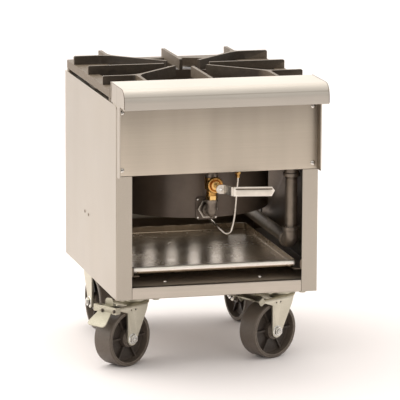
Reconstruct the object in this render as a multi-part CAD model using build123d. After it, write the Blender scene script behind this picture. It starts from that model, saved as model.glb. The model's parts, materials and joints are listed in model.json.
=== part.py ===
"""Stock pot range: one open-fronted stainless cabinet on four casters, with a cast top grate over a
ring of gas jets.

Millimetres. X runs to the right, Y to the back, Z up. The origin is on the floor, under the middle
of the cabinet.
"""

import os
from math import atan2, cos, degrees, radians, sin, sqrt

from build123d import *

# cabinet
cabinet_width = 457.2
cabinet_depth = 533.4
caster_height = 158.0  # floor to the cabinet's underside
side_height = 431.5  # a side panel, bottom edge to top edge
sheet = 1.2
bend_radius = 2.4  # outside of a fold
stile_width = 35.6
rear_flange = 20.0
top_flange = 18.0
side_corner_radius = 10.0  # top front corner of a side panel
opening_top = 275.6  # underside of the cabinet to the underside of the front panel
rail_height = 26.6
fold_gap = 0.3  # between sheets that slide past each other on assembly

# ledge, wings, front panel
ledge_top = 477.5  # above the underside of the cabinet
ledge_back = 55.0  # rear edge of the ledge, behind the cabinet's front
ledge_overhang = 80.0
ledge_face = 44.5  # height of the ledge's front, top to lip
ledge_lip = 16.0
ledge_rear_drop = 36.0
bullnose = 28.0
wing_reach = 28.0  # how far a wing stands out in front of the cabinet
wing_hem = 9.0
wing_tail = 40.0  # how far a wing runs back inside its side panel
wing_flange = 24.0
panel_flange = 14.0
panel_top = 440.0  # top of the front panel, above the underside of the cabinet
screw_inset = 12.6  # front panel screw to the outside of the cabinet
screw_low = 14.0  # above the front panel's lower edge
screw_high = 141.0
screw_head_radius = 5.2
screw_head_height = 2.8
screw_shank_radius = 2.0
screw_length = 8.0
screw_clearance = 0.15

# floor, rear
channel_front = 16.0  # front face of the front caster channel, behind the cabinet's front
channel_width = 124.0
channel_sheet = 2.0
floor_edge = 12.0
rear_rail_height = 76.0
rear_rail_flange = 9.0
rear_gap = 9.0  # open strip between the rear rail and the rear panel
slot_count = 8
slot_pitch = 54.0
slot_width = 25.0
slot_height = 96.0
slot_low = 118.0  # lower end of a slot, above the underside of the cabinet

# grate
grate_gap = 3.0  # behind the ledge
grate_rear_strip = 18.2  # open strip behind the grate
grate_seat = 8.5  # height of a corner foot
grate_foot = 20.0
grate_skirt = 18.0  # depth of the outer edge
grate_wall = 8.0
grate_border = 25.6  # outer edge of the grate to its opening, at the narrowest
grate_collar = 20.0  # depth of the wall round the opening
grate_collar_wall = 6.0
grate_corner_radius = 5.0
rib_rise = 19.5  # rib tops above the flat of the grate
rib_depth = 24.0
rib_width = 7.5
rib_end_inset = 78.6  # an outer rib to the grate's side edge
rib_inner_radius = 53.0
rib_crotch_radius = 62.0
rib_notch_radius = 9.0
rib_end_radius = 3.5

# burner
chamber_inset = 16.0  # chamber wall inside the grate's opening
chamber_sheet = 1.5
chamber_bottom = 157.0  # above the underside of the cabinet
chamber_rim_inset = 7.6  # edge of the chamber's rim to the outside of the cabinet
feed_rise = 21.5  # burner feed pipe's axis above the bottom of the chamber
burner_radius = 76.0
burner_thickness = 26.0
burner_boss_radius = 24.0
jet_rings = ((12, 58.0), (6, 28.0))  # count and ring radius
jet_height = 30.0
jet_radius = 6.5
support_bar_width = 34.0
support_bar_thickness = 5.0
feed_flange_size = 50.0
feed_flange_thickness = 4.0
locknut_width = 40.0  # across its flats
locknut_thickness = 9.0
locknut_collar_radius = 12.2
locknut_collar_reach = 2.5
pilot_height = 62.0
pilot_x = -26.0
pilot_bracket_width = 16.0
pilot_bracket_sheet = 2.0
pilot_stand_off = 14.0  # pilot burner's axis in front of the burner's edge

# pipework
pipe_radius = 8.6  # valve and feed pipe
pipe_wall = 2.8
fitting_radius = 11.3
band_radius = 13.5
band_length = 8.0
fitting_reach = 28.0  # centre of an elbow or tee to its open end
main_radius = 13.35  # manifold, riser and supply pipe
main_fitting_radius = 16.5
main_band_radius = 19.0
main_reach = 33.5
thread_depth = 12.0
thread_clearance = 0.1
valve_back = 55.0  # valve and manifold axis, behind the cabinet's front
manifold_rise = 41.5  # manifold's axis above the lever's axis
riser_x = 183.0
supply_height = 104.0
inlet_stub = 26.0  # how far the supply pipe stands out of the rear panel
inlet_thread_length = 20.0
inlet_thread_radius = 13.1
clamp_back = 70.0  # pipe clamp in front of the cabinet's rear
clamp_width = 16.0
clamp_strap = 2.0
pilot_valve_x = 60.0
pilot_hexagon = 12.0
pilot_valve_length = 17.0
tube_radius = 2.4
tube_down_bends = (
    # corners of the pilot tube: beside and behind the pilot valve, and above the chamber's bottom
    (-6.0, 6.0, 0.0),
    (-15.5, 12.5, -41.0),
)
tube_under_bends = (
    # beside the pilot valve, behind the chamber's front, and above the chamber's bottom
    (-40.0, -13.0, -18.0),
    (-48.0, 17.0, -5.5),
)

# valve and lever
valve_rise = 65.0  # lever's axis above the feed pipe's axis
valve_barrel_radius = 15.5
valve_neck_radius = 11.8
bonnet_radius = 18.5
bonnet_thickness = 7.0
bonnet_rim = 2.5  # straight part of its edge
bonnet_crest = 3.0  # width of the raised ring round its dish
bonnet_dish = 3.5
gland_radius = 9.9
gland_reach = 4.0  # gland in front of the bonnet
bonnet_front = 20.0  # front of the bonnet, behind the cabinet's front
stem_radius = 4.5
hub_reach = 24.0  # lever's hub in front of the cabinet
lever_height = 20.0
lever_thickness = 3.0
lever_crank = 31.0  # how far the lever steps forward
lever_crank_run = 15.0
lever_neck = 2.5  # bare lever between its step and the grip
grip_length = 90.5
grip_slope = 6.5  # how far the grip's end slopes back
grip_nose = 8.0  # the end's foremost point, below the grip's top
grip_angle = 10.0  # degrees, forward of straight across
grip_wall = 1.8
running_clearance = 0.05

# drip tray
tray_side = 42.6  # side of the pan to the outside of the cabinet
tray_depth = 430.0
tray_front = 26.0  # front of the pan, behind the cabinet's front
tray_wall = 15.0
tray_sheet = 1.0
tray_corner_radius = 8.0
tray_bead = 6.3  # radius of the rolled front lip
tray_bead_inset = 6.0  # end of the lip to the side of the pan
runner_height = 52.0  # top of a runner's shelf above the underside of the cabinet
runner_shelf = 52.0
runner_leg = 28.0
runner_tab = 39.0
tray_clearance = 0.3

# casters
swivel_x = 168.0
swivel_inset = 73.4  # rear swivel axis in front of the cabinet's rear
wheel_radius = 63.5
wheel_width = 50.8
wheel_edge_radius = 4.0
wheel_rim = 8.5
wheel_recess = 16.0
wheel_rib_count = 6
wheel_rib_thickness = 4.0
wheel_rib_inset = 9.0  # ribs below the face of the wheel
hub_radius = 20.0
hub_step = 2.0
hub_length = 55.2
axle_radius = 6.0
axle_head_width = 18.0  # across its flats
axle_head_height = 7.0
swivel_offset = 40.0  # swivel axis to wheel axis
fork_gap = 56.0
fork_sheet = 4.0
fork_top = 141.0  # above the floor
fork_front_radius = 31.0
fork_boss_radius = 15.0
fork_arm = 86.0  # swivel axis to the brake hinge
fork_arm_depth = 10.0
fork_hole_radius = 2.2
fork_hole_drop = 12.3  # row of small holes below the top of the fork
fork_hole_row = (30.0, 43.0)  # swivel axis to each small hole
plate_length = 114.0  # front to back
plate_width = 100.0
plate_thickness = 5.0
plate_corner_radius = 8.0
bolt_spacing_x = 76.0
bolt_spacing_y = 80.0
bolt_radius = 4.5
bolt_head = 5.0
race_radius = 33.0
race_gap = 0.4
crown_radius = 24.0  # raised seat of the lower race
crown_height = 4.6
kingpin_radius = 6.0
kingpin_nut_width = 18.0
kingpin_nut_height = 8.0
hinge_pin_radius = 3.0
pedal_sheet = 2.5
pedal_drop = 27.0
pedal_out = 31.0
pedal_width = 40.0
pedal_tip_width = 58.0
pedal_tab_width = 24.0
pedal_tab_rise = 16.0
pedal_tab_back = 14.0  # the tab stands this far behind the pedal's face
pedal_lift = 60.0  # degrees, from pressed down to let go
casters = {
    # X sign, at the front or not, trailing direction in degrees, share of the pedal's lift
    "front_left": (-1, True, -148.0, 0),
    "front_right": (1, True, -153.0, 1),
    "rear_left": (-1, False, -85.0, None),
    "rear_right": (1, False, -80.0, None),
}

# derived places
half_width = cabinet_width / 2
inner_x = half_width - sheet  # inside face of a side panel
front_y = -cabinet_depth / 2
rear_y = cabinet_depth / 2
base_z = caster_height
side_top_z = base_z + side_height
opening_top_z = base_z + opening_top
floor_top_z = base_z + rail_height - sheet
wing_x = inner_x - sheet  # inside face of a wing
grate_front_y = front_y + ledge_back + grate_gap
grate_half_width = half_width
grate_half_depth = (rear_y - grate_rear_strip - grate_front_y) / 2
grate_opening_radius = min(grate_half_width, grate_half_depth) - grate_border
chamber_radius = grate_opening_radius - chamber_inset
centre_y = grate_front_y + grate_half_depth  # middle of the grate, chamber and burner
grate_top_z = side_top_z + grate_seat + grate_skirt
rib_top_z = grate_top_z + rib_rise
chamber_top_z = side_top_z + chamber_sheet
chamber_bottom_z = base_z + chamber_bottom
chamber_front_y = centre_y - chamber_radius
burner_edge_y = centre_y - sqrt(burner_radius**2 - pilot_x**2)  # the burner's rim behind the pilot
pilot_y = burner_edge_y - pilot_stand_off
feed_z = chamber_bottom_z + feed_rise
burner_bottom_z = feed_z + pipe_radius + pipe_wall
burner_top_z = burner_bottom_z + burner_thickness
valve_y = front_y + valve_back
valve_z = feed_z + valve_rise
manifold_z = valve_z + manifold_rise
supply_z = base_z + supply_height
hub_y = front_y - hub_reach
bonnet_y = front_y + bonnet_front
tray_bottom_z = base_z + runner_height + tray_clearance
tray_front_y = front_y + tray_front
front_swivel_y = front_y + channel_front + channel_width / 2
rear_swivel_y = rear_y - swivel_inset


def slab(x_range, y_range, z_range):
    """A block between three pairs of limits."""
    size = [high - low for low, high in (x_range, y_range, z_range)]
    middle = [(high + low) / 2 for low, high in (x_range, y_range, z_range)]
    return Pos(*middle) * Box(*size)


def folded(points, thickness=sheet, radius=bend_radius, side=Side.LEFT):
    """The section of a folded sheet: its outer line, thickened to one side of the way it runs."""
    path = FilletPolyline(*points, radius=radius)
    return make_face(offset(path, amount=thickness, side=side))


def along_x(section, low, high):
    """Extrude a Y-Z section from one X to another."""
    return extrude(Plane.YZ.offset(low) * section, high - low)


def along_y(section, low, high):
    """Extrude an X-Z section from one Y to another."""
    return extrude(Plane.XZ.offset(-low) * section, low - high)


def along_z(section, low, high):
    """Extrude an X-Y section from one Z to another."""
    return extrude(Plane.XY.offset(low) * section, high - low)


def rod(start, direction, radius, length):
    """A round bar from a point along a direction."""
    return extrude(Plane(origin=start, z_dir=direction) * Circle(radius), length)


def hexagon(start, direction, across_flats, length, turn=0):
    """A six-sided prism from a point along a direction."""
    prism = RegularPolygon(across_flats / 2, 6, major_radius=False, rotation=turn)
    return extrude(Plane(origin=start, z_dir=direction) * prism, length)


def other_side(shape):
    """The mirror image across the middle of the cabinet."""
    return mirror(shape, about=Plane.YZ)


# cabinet sheets
def make_side_panel():
    """Right side: wall, front stile, rear flange and top flange."""
    plan = folded(
        [
            (half_width - stile_width, front_y),
            (half_width, front_y),
            (half_width, rear_y),
            (half_width - rear_flange, rear_y),
        ]
    )
    panel = along_z(plan, base_z, side_top_z)
    flange_y = (front_y + wing_tail + fold_gap, rear_y - sheet)
    panel += slab((half_width - top_flange, inner_x), flange_y, (side_top_z - sheet, side_top_z))
    # The stile stops under the front panel, and the wall's top front corner is round.
    stile_x = (half_width - stile_width - 1, inner_x)
    panel -= slab(stile_x, (front_y - 1, front_y + bend_radius), (opening_top_z, side_top_z + 1))
    corner = slab(
        (wing_x, half_width + 1),
        (front_y - 1, front_y + side_corner_radius),
        (side_top_z - side_corner_radius, side_top_z + 1),
    )
    corner -= rod(
        (wing_x - 1, front_y + side_corner_radius, side_top_z - side_corner_radius),
        (1, 0, 0),
        side_corner_radius,
        half_width,
    )
    return panel - corner


def make_bottom_front_rail():
    """Channel between the stiles, open to the back."""
    section = folded(
        [
            (front_y + channel_front, base_z),
            (front_y, base_z),
            (front_y, base_z + rail_height),
            (front_y + channel_front, base_z + rail_height),
        ],
        side=Side.RIGHT,
    )
    reach = half_width - stile_width - fold_gap
    return along_x(section, -reach, reach)


def make_cabinet_floor():
    """Flat pan with turned-up sides, on the caster channels."""
    low = floor_top_z - sheet
    section = folded(
        [
            (-inner_x, low + floor_edge),
            (-inner_x, low),
            (inner_x, low),
            (inner_x, low + floor_edge),
        ]
    )
    return along_y(section, front_y + bend_radius + fold_gap, rear_y - bend_radius - fold_gap)


def make_caster_channel(start_y):
    """U channel across the cabinet, drilled for two caster plates."""
    top = floor_top_z - sheet
    section = folded(
        [
            (start_y, top),
            (start_y, base_z),
            (start_y + channel_width, base_z),
            (start_y + channel_width, top),
        ],
        thickness=channel_sheet,
        radius=2 * channel_sheet,
    )
    reach = inner_x - fold_gap
    channel = along_x(section, -reach, reach)
    middle_y = start_y + channel_width / 2
    for x, y in bolt_places((-1, 1), middle_y):
        channel -= rod((x, y, base_z - 1), (0, 0, 1), bolt_radius, channel_sheet + 2)
    return channel


def bolt_places(sides, middle_y):
    """Plate bolt centres at one pair of swivel axes."""
    places = []
    for side in sides:
        for step_x in (-0.5, 0.5):
            for step_y in (-0.5, 0.5):
                x = side * swivel_x + step_x * bolt_spacing_x
                places.append((x, middle_y + step_y * bolt_spacing_y))
    return places


def make_plate_bolts():
    """Sixteen bolts, heads under the caster plates and nuts inside the channels."""
    bolts = []
    under = base_z - plate_thickness - bolt_head
    nut_z = base_z + channel_sheet
    for middle_y in (front_swivel_y, rear_swivel_y):
        for x, y in bolt_places((-1, 1), middle_y):
            shank = Plane((x, y, under)) * RegularPolygon(bolt_radius - fold_gap, 8)
            bolt = extrude(shank, nut_z + 1.5 * bolt_head - under)
            bolt += hexagon((x, y, under), (0, 0, 1), 3 * bolt_radius, bolt_head)
            bolts.append(bolt + hexagon((x, y, nut_z), (0, 0, 1), 3 * bolt_radius, bolt_head))
    return Compound(children=bolts)


def make_rear_rail():
    """Low channel across the back, below the open strip."""
    outer = rear_y - sheet
    section = folded(
        [
            (outer - rear_rail_flange, base_z + rear_rail_height),
            (outer, base_z + rear_rail_height),
            (outer, base_z),
            (outer - rear_rail_flange, base_z),
        ],
        side=Side.RIGHT,
    )
    reach = half_width - bend_radius - fold_gap
    return along_x(section, -reach, reach)


def make_rear_panel():
    """Back sheet with upright air slots and a hole for the supply pipe."""
    outer = rear_y - sheet
    low = base_z + rear_rail_height + rear_gap
    section = folded(
        [
            (outer - rear_rail_flange, side_top_z),
            (outer, side_top_z),
            (outer, low),
            (outer - rear_rail_flange / 2, low),
        ],
        side=Side.RIGHT,
    )
    reach = half_width - top_flange - fold_gap
    panel = along_x(section, -reach, reach)
    ear_x = half_width - bend_radius - fold_gap
    panel += slab((-ear_x, ear_x), (outer - sheet, outer), (low, side_top_z - bend_radius - fold_gap))
    middle = (slot_count - 1) / 2
    for index in range(slot_count):
        x = (index - middle) * slot_pitch
        slot = SlotOverall(slot_height, slot_width, rotation=90)
        z = base_z + slot_low + slot_height / 2
        panel -= along_y(Pos(x, z) * slot, outer - 2 * sheet, outer + sheet)
    hole_radius = main_radius + 2 * fold_gap
    panel -= rod((riser_x, outer - 2 * sheet, supply_z), (0, 1, 0), hole_radius, 4 * sheet)
    return panel


# ledge, wings, front panel
def make_landing_ledge():
    """One folded skin: rear drop, flat top, bullnose, front face and return lip."""
    top = base_z + ledge_top
    back = front_y + ledge_back
    front = front_y - ledge_overhang
    points = [
        (back, top - ledge_rear_drop),
        (back, top),
        (front, top),
        (front, top - ledge_face),
        (front + ledge_lip, top - ledge_face),
    ]
    section = folded(points, radius=(bend_radius, bullnose, bend_radius))
    return along_x(section, -half_width, half_width)


def make_wing_plate():
    """Right wing: closes the ledge's end and stands out beside the front panel."""
    top = base_z + ledge_top - sheet
    back = front_y + ledge_back - sheet
    front = front_y - ledge_overhang + sheet
    lip = base_z + ledge_top - ledge_face + sheet
    wing_front = front_y - wing_reach
    tail = front_y + wing_tail
    outline = Polyline(
        (back, top),
        (front, top),
        (front, lip),
        (wing_front, lip),
        (wing_front, opening_top_z),
        (tail, opening_top_z),
        (tail, side_top_z + sheet),
        (back, side_top_z + sheet),
        close=True,
    )
    face = make_face(outline)
    corners = face.vertices().sort_by(Axis.X)
    nose = corners[:2].sort_by(Axis.Y)[-1]
    face = fillet(nose, bullnose - sheet)
    low_corners = [v for v in face.vertices() if abs(v.X - wing_front) < 0.01]
    face = fillet(low_corners, 4.0)
    # The two corners inside the ledge's folds are eased to sit in them.
    seats = [face.vertices().sort_by_distance(spot)[0] for spot in ((back, top), (front, lip))]
    face = fillet(seats, bend_radius)
    plate = along_x(face, wing_x, inner_x)
    hem = slab(
        (wing_x - sheet - fold_gap, wing_x),
        (wing_front, wing_front + wing_hem),
        (opening_top_z + 4.0, lip - 4.0),
    )
    flange = slab(
        (wing_x - wing_flange, wing_x),
        (front_y + sheet, front_y + 2 * sheet),
        (opening_top_z + 2 * sheet, base_z + panel_top - 2 * sheet),
    )
    for z in screw_heights():
        flange -= rod((half_width - screw_inset, front_y, z), (0, 1, 0), screw_shank_radius, 4 * sheet)
    return plate + hem + flange


def screw_heights():
    """Heights of the lower and upper front panel screws."""
    return (opening_top_z + screw_low, opening_top_z + screw_high)


def make_front_panel():
    """Flat sheet between the wings, flush with the stiles, turned back at top and bottom."""
    section = folded(
        [
            (front_y + panel_flange, opening_top_z),
            (front_y, opening_top_z),
            (front_y, base_z + panel_top),
            (front_y + panel_flange, base_z + panel_top),
        ],
        side=Side.RIGHT,
    )
    reach = wing_x - fold_gap
    panel = along_x(section, -reach, reach)
    # The turned edges stop short of the flanges that carry the panel.
    for side in (-1, 1):
        inner = side * (wing_x - wing_flange - fold_gap)
        outer = side * half_width
        notch_x = (min(inner, outer), max(inner, outer))
        notch_y = (front_y + sheet, front_y + panel_flange + 1)
        panel -= slab(notch_x, notch_y, (opening_top_z - 1, side_top_z + ledge_top))
    hole = screw_shank_radius + screw_clearance
    for x in (-half_width + screw_inset, half_width - screw_inset):
        for z in screw_heights():
            panel -= rod((x, front_y - 1, z), (0, 1, 0), hole, sheet + 2)
    return panel


def make_round_screw(point, direction, head_radius=screw_head_radius):
    """Truss-headed screw: the head's flat lies at the point and the shank runs along direction."""
    rise = screw_head_height
    profile = Polyline(
        (0, -rise),
        (head_radius * 0.5, -rise),
        (head_radius * 0.88, -rise * 0.55),
        (head_radius, 0),
        (screw_shank_radius, 0),
        (screw_shank_radius, screw_length),
        (0, screw_length),
        close=True,
    )
    screw = revolve(Plane.XZ * make_face(profile), Axis.Z)
    return Plane(origin=point, z_dir=direction).location * screw


def make_front_panel_screws():
    """The four round heads at the panel's corners."""
    screws = []
    for x in (-half_width + screw_inset, half_width - screw_inset):
        for z in screw_heights():
            screws.append(make_round_screw((x, front_y, z), (0, 1, 0)))
    return Compound(children=screws)


# grate
def make_rib_plan():
    """Plan of the eight ribs about the grate's middle: straight ones and Y-shaped corners."""
    edge_x, edge_y = grate_half_width, grate_half_depth
    half = rib_width / 2
    offset_x, offset_y = edge_x - rib_end_inset, edge_y - rib_end_inset
    plan = Sketch()
    for side in (-1, 1):
        middle_x, middle_y = (rib_inner_radius + edge_x) / 2, (rib_inner_radius + edge_y) / 2
        plan += Pos(side * middle_x, 0) * Rectangle(edge_x - rib_inner_radius, rib_width)
        plan += Pos(0, side * middle_y) * Rectangle(rib_width, edge_y - rib_inner_radius)
    arm_run = rib_end_inset + half
    corner = Pos(edge_x - arm_run / 2, offset_y) * Rectangle(arm_run, rib_width)
    corner += Pos(offset_x, edge_y - arm_run / 2) * Rectangle(rib_width, arm_run)
    stem_run = sqrt(offset_x**2 + offset_y**2) - rib_inner_radius
    stem = Pos(rib_inner_radius + stem_run / 2, 0) * Rectangle(stem_run, rib_width)
    corner += Rot(0, 0, degrees(atan2(offset_y, offset_x))) * stem
    # The inner corner of the Y is small, and the two where its arms leave the stem are wide.
    notch = corner.vertices().sort_by_distance((offset_x + half, offset_y + half))[0]
    corner = fillet(notch, rib_notch_radius)
    crotch = [
        vertex
        for vertex in corner.vertices()
        if (abs(vertex.Y - offset_y + half) < 0.01 and vertex.X < edge_x - 1)
        or (abs(vertex.X - offset_x + half) < 0.01 and vertex.Y < edge_y - 1)
    ]
    corner = fillet(crotch, rib_crotch_radius)
    plan += corner + mirror(corner, about=Plane.YZ)
    return plan + mirror(corner, about=Plane.XZ) + mirror(mirror(corner, about=Plane.YZ), about=Plane.XZ)


def make_top_grate():
    """Square cast plate with a skirt, a round collar, standing ribs and corner feet."""
    skirt_z = grate_top_z - grate_skirt
    width, depth = 2 * grate_half_width, 2 * grate_half_depth
    outline = RectangleRounded(width, depth, grate_corner_radius)
    grate = along_z(outline - Circle(grate_opening_radius), skirt_z, grate_top_z)
    hollow = Rectangle(width - 2 * grate_wall, depth - 2 * grate_wall)
    hollow -= Circle(grate_opening_radius + grate_collar_wall)
    grate -= along_z(hollow, skirt_z - 1, grate_top_z - grate_wall)
    collar = Circle(grate_opening_radius + grate_collar_wall) - Circle(grate_opening_radius)
    grate += along_z(collar, grate_top_z - grate_collar, grate_top_z)
    grate += along_z(make_rib_plan(), rib_top_z - rib_depth, rib_top_z)
    foot = Rectangle(grate_foot, grate_foot)
    inset = grate_foot / 2 + grate_corner_radius / 4
    for x in (inset - grate_half_width, grate_half_width - inset):
        for y in (inset - grate_half_depth, grate_half_depth - inset):
            grate += along_z(Pos(x, y) * foot, side_top_z, grate_top_z - grate_wall)
    ends = [
        e
        for e in grate.edges()
        if abs(e.center().Z - rib_top_z) < 0.01
        and e.length < rib_width + 0.1
        and (abs(e.center().X) > grate_half_width - 0.01 or abs(e.center().Y) > grate_half_depth - 0.01)
    ]
    grate = fillet(ends, rib_end_radius)
    return Pos(0, centre_y, 0) * grate


# burner
def make_burner_chamber():
    """Round black wall under the grate, hung by its top flange on the side panels."""
    wall = Circle(chamber_radius) - Circle(chamber_radius - chamber_sheet)
    rim = Circle(half_width - chamber_rim_inset) - Circle(chamber_radius - chamber_sheet)
    chamber = along_z(wall, chamber_bottom_z, side_top_z) + along_z(rim, side_top_z, chamber_top_z)
    chamber = Pos(0, centre_y, 0) * chamber
    hole = pipe_radius + 2 * fold_gap
    outside = (0, chamber_front_y - feed_flange_thickness, feed_z)
    return chamber - rod(outside, (0, 1, 0), hole, chamber_radius)


def make_burner_support():
    """Flat bar across the chamber, under the burner's boss."""
    top = feed_z - burner_boss_radius
    bar = slab(
        (-chamber_radius, chamber_radius),
        (centre_y - support_bar_width / 2, centre_y + support_bar_width / 2),
        (top - support_bar_thickness, top),
    )
    inside = Cylinder(chamber_radius - chamber_sheet - running_clearance, 4 * support_bar_thickness)
    return bar & (Pos(0, centre_y, top) * inside)


def make_burner_body():
    """Round hollow casting with a boss below and a side inlet for the feed pipe."""
    disc = Cylinder(burner_radius, burner_thickness)
    disc = chamfer(disc.edges().group_by(Axis.Z)[-1], 4.0)
    body = Pos(0, centre_y, burner_bottom_z + burner_thickness / 2) * disc
    boss_low = feed_z - burner_boss_radius
    body += rod((0, centre_y, boss_low), (0, 0, 1), burner_boss_radius, burner_bottom_z - boss_low + 1)
    inlet_y = centre_y - burner_boss_radius - band_length
    body += rod((0, inlet_y, feed_z), (0, 1, 0), band_radius, band_length + burner_boss_radius)
    body -= rod((0, inlet_y, feed_z), (0, 1, 0), pipe_radius + thread_clearance, thread_depth)
    for count, ring in jet_rings:
        for index in range(count):
            angle = radians(index * 360 / count)
            spot = (ring * cos(angle), centre_y + ring * sin(angle), burner_top_z - jet_seat())
            socket = Plane(spot) * RegularPolygon(jet_radius * 0.6 + running_clearance, 8)
            body -= extrude(socket, 2 * jet_seat())
    return body


def jet_seat():
    """Depth of a jet's shank in the casting."""
    return burner_thickness / 4


def make_burner_jets():
    """Brass tips: a shank, a hexagon and a tapered nose each."""
    jets = []
    for count, ring in jet_rings:
        for index in range(count):
            angle = radians(index * 360 / count)
            x, y = ring * cos(angle), centre_y + ring * sin(angle)
            shank = Plane((x, y, burner_top_z - jet_seat())) * RegularPolygon(jet_radius * 0.6, 8)
            jet = extrude(shank, jet_seat())
            jet += hexagon((x, y, burner_top_z), (0, 0, 1), 2 * jet_radius, jet_height / 3)
            nose = Plane((x, y, burner_top_z + jet_height / 3)) * RegularPolygon(jet_radius * 0.8, 8)
            jet += extrude(nose, jet_height * 2 / 3, taper=5)
            jets.append(jet)
    return Compound(children=jets)


def make_feed_pipe():
    """Pipe from the valve's elbow through the chamber wall into the burner."""
    start = valve_y + fitting_reach - thread_depth
    end = centre_y - burner_boss_radius - band_length + thread_depth
    return hollow_pipe((0, start, feed_z), (0, 1, 0), end - start)


def make_feed_flange():
    """Square flange against the front of the chamber."""
    half = feed_flange_size / 2
    back = chamber_front_y
    front = back - feed_flange_thickness
    flange = slab((-half, half), (front, back), (feed_z - half, feed_z + half))
    flange = fillet(flange.edges().filter_by(Axis.Y), half / 4)
    hole = pipe_radius + thread_clearance
    return flange - rod((0, front - 1, feed_z), (0, 1, 0), hole, feed_flange_thickness + 2)


def make_locknut():
    """Six-sided nut on the feed pipe, against the flange."""
    face = chamber_front_y - feed_flange_thickness
    front = face - locknut_thickness
    nut = hexagon((0, front, feed_z), (0, 1, 0), locknut_width, locknut_thickness, turn=30)
    collar_start = (0, front - locknut_collar_reach, feed_z)
    washer = rod(collar_start, (0, 1, 0), locknut_collar_radius, locknut_thickness)
    bore = rod((0, front - 5, feed_z), (0, 1, 0), pipe_radius + thread_clearance, locknut_thickness + 10)
    return nut + washer - bore


def make_pilot_burner():
    """Small pilot on a bracket, at the front of the burner."""
    low = burner_bottom_z
    body = rod((pilot_x, pilot_y, low), (0, 0, 1), 6.0, pilot_height * 0.6)
    body += rod((pilot_x, pilot_y, low + pilot_height * 0.6), (0, 0, 1), 4.0, pilot_height * 0.25)
    bracket_x = (pilot_x - pilot_bracket_width / 2, pilot_x + pilot_bracket_width / 2)
    back = burner_edge_y - 2 * sheet
    foot_z = (low + pilot_bracket_sheet, low + pilot_bracket_sheet + pilot_bracket_width)
    shelf_z = (sum(foot_z) - pilot_bracket_sheet) / 2
    bracket = slab(bracket_x, (pilot_y, back), (shelf_z, shelf_z + pilot_bracket_sheet))
    bracket += slab(bracket_x, (back - pilot_bracket_sheet, burner_edge_y + 2 * pilot_bracket_sheet), foot_z)
    bracket -= Pos(0, centre_y, low) * Cylinder(burner_radius, 4 * burner_thickness)
    body -= rod((pilot_x, pilot_y, low - 1), (0, 0, 1), tube_radius + thread_clearance, 9)
    return body + bracket


# pipework
def hollow_pipe(start, direction, length, radius=pipe_radius):
    """Straight pipe with its bore."""
    ring = Circle(radius) - Circle(radius - pipe_wall)
    return extrude(Plane(origin=start, z_dir=direction) * ring, length)


def make_elbow(corner, first, second, sizes=(pipe_radius, fitting_radius, band_radius, fitting_reach)):
    """Right-angled fitting with a banded socket at each end, its two ends along the directions."""
    pipe, fitting, band, reach = sizes
    bend = fitting + 1.5
    body = revolve(Plane.YZ.offset(bend) * Circle(fitting), Axis((bend, 0, bend), (0, 1, 0)), 90)
    for way in ((1, 0, 0), (0, 0, 1)):
        start = tuple(bend * part for part in way)
        body += rod(start, way, fitting, reach - bend)
        start = tuple((reach - band_length) * part for part in way)
        body += rod(start, way, band, band_length)
        start = tuple((reach - thread_depth) * part for part in way)
        body -= rod(start, way, pipe + thread_clearance, thread_depth + 1)
    return Plane(origin=corner, x_dir=first, z_dir=second).location * body


def make_main_elbow(corner, first, second):
    """An elbow in the size of the riser and supply pipe."""
    sizes = (main_radius, main_fitting_radius, main_band_radius, main_reach)
    return make_elbow(corner, first, second, sizes)


def make_valve_elbow():
    """Turns the gas from the valve to the back."""
    return make_elbow((0, valve_y, feed_z), (0, 1, 0), (0, 0, 1))


def make_manifold_tee():
    """Fitting on the manifold, over the valve, closed at its left end by a plug."""
    middle = (0, valve_y, manifold_z)
    body = rod((-main_reach, valve_y, manifold_z), (1, 0, 0), main_fitting_radius, 2 * main_reach)
    body += rod(middle, (0, 0, -1), fitting_radius, fitting_reach)
    ends = (
        ((1, 0, 0), main_reach, main_band_radius),
        ((-1, 0, 0), main_reach, main_band_radius),
        ((0, 0, -1), fitting_reach, band_radius),
    )
    for way, reach, band in ends:
        start = tuple(m + (reach - band_length) * part for m, part in zip(middle, way))
        body += rod(start, way, band, band_length)
    for way, reach, pipe in (((1, 0, 0), main_reach, main_radius), ((0, 0, -1), fitting_reach, pipe_radius)):
        start = tuple(m + (reach - thread_depth) * part for m, part in zip(middle, way))
        body -= rod(start, way, pipe + thread_clearance, thread_depth + 1)
    # The plug's square head.
    half = main_fitting_radius / 3
    plug_x = (-main_reach - half, -main_reach)
    return body + slab(plug_x, (valve_y - half, valve_y + half), (manifold_z - half, manifold_z + half))


def make_gas_manifold():
    """Pipe across the back of the front panel, with a boss for the pilot valve."""
    start = main_reach - thread_depth
    length = riser_x - 2 * start
    pipe = hollow_pipe((start, valve_y, manifold_z), (1, 0, 0), length, main_radius)
    boss = rod((pilot_valve_x, valve_y, pilot_valve_top()), (0, 0, 1), pilot_hexagon / 2, main_radius)
    bore = rod((start - 1, valve_y, manifold_z), (1, 0, 0), main_radius - pipe_wall, length + 2)
    return pipe + (boss - bore)


def make_manifold_elbow():
    """Joins the riser to the manifold."""
    return make_main_elbow((riser_x, valve_y, manifold_z), (-1, 0, 0), (0, 0, -1))


def make_supply_riser():
    """Upright pipe beside the opening."""
    low = supply_z + main_reach - thread_depth
    high = manifold_z - main_reach + thread_depth
    return hollow_pipe((riser_x, valve_y, low), (0, 0, 1), high - low, main_radius)


def make_supply_elbow():
    """Foot of the riser, open to the back."""
    return make_main_elbow((riser_x, valve_y, supply_z), (0, 1, 0), (0, 0, 1))


def make_supply_pipe():
    """Runs back along the cabinet and out through the rear panel."""
    start = valve_y + main_reach - thread_depth
    thread_start = rear_y - sheet + inlet_stub - inlet_thread_length
    pipe = hollow_pipe((riser_x, start, supply_z), (0, 1, 0), thread_start - start, main_radius)
    ring = Circle(inlet_thread_radius) - Circle(main_radius - pipe_wall)
    seat = Plane(origin=(riser_x, thread_start, supply_z), z_dir=(0, 1, 0))
    return pipe + extrude(seat * ring, inlet_thread_length)


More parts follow.
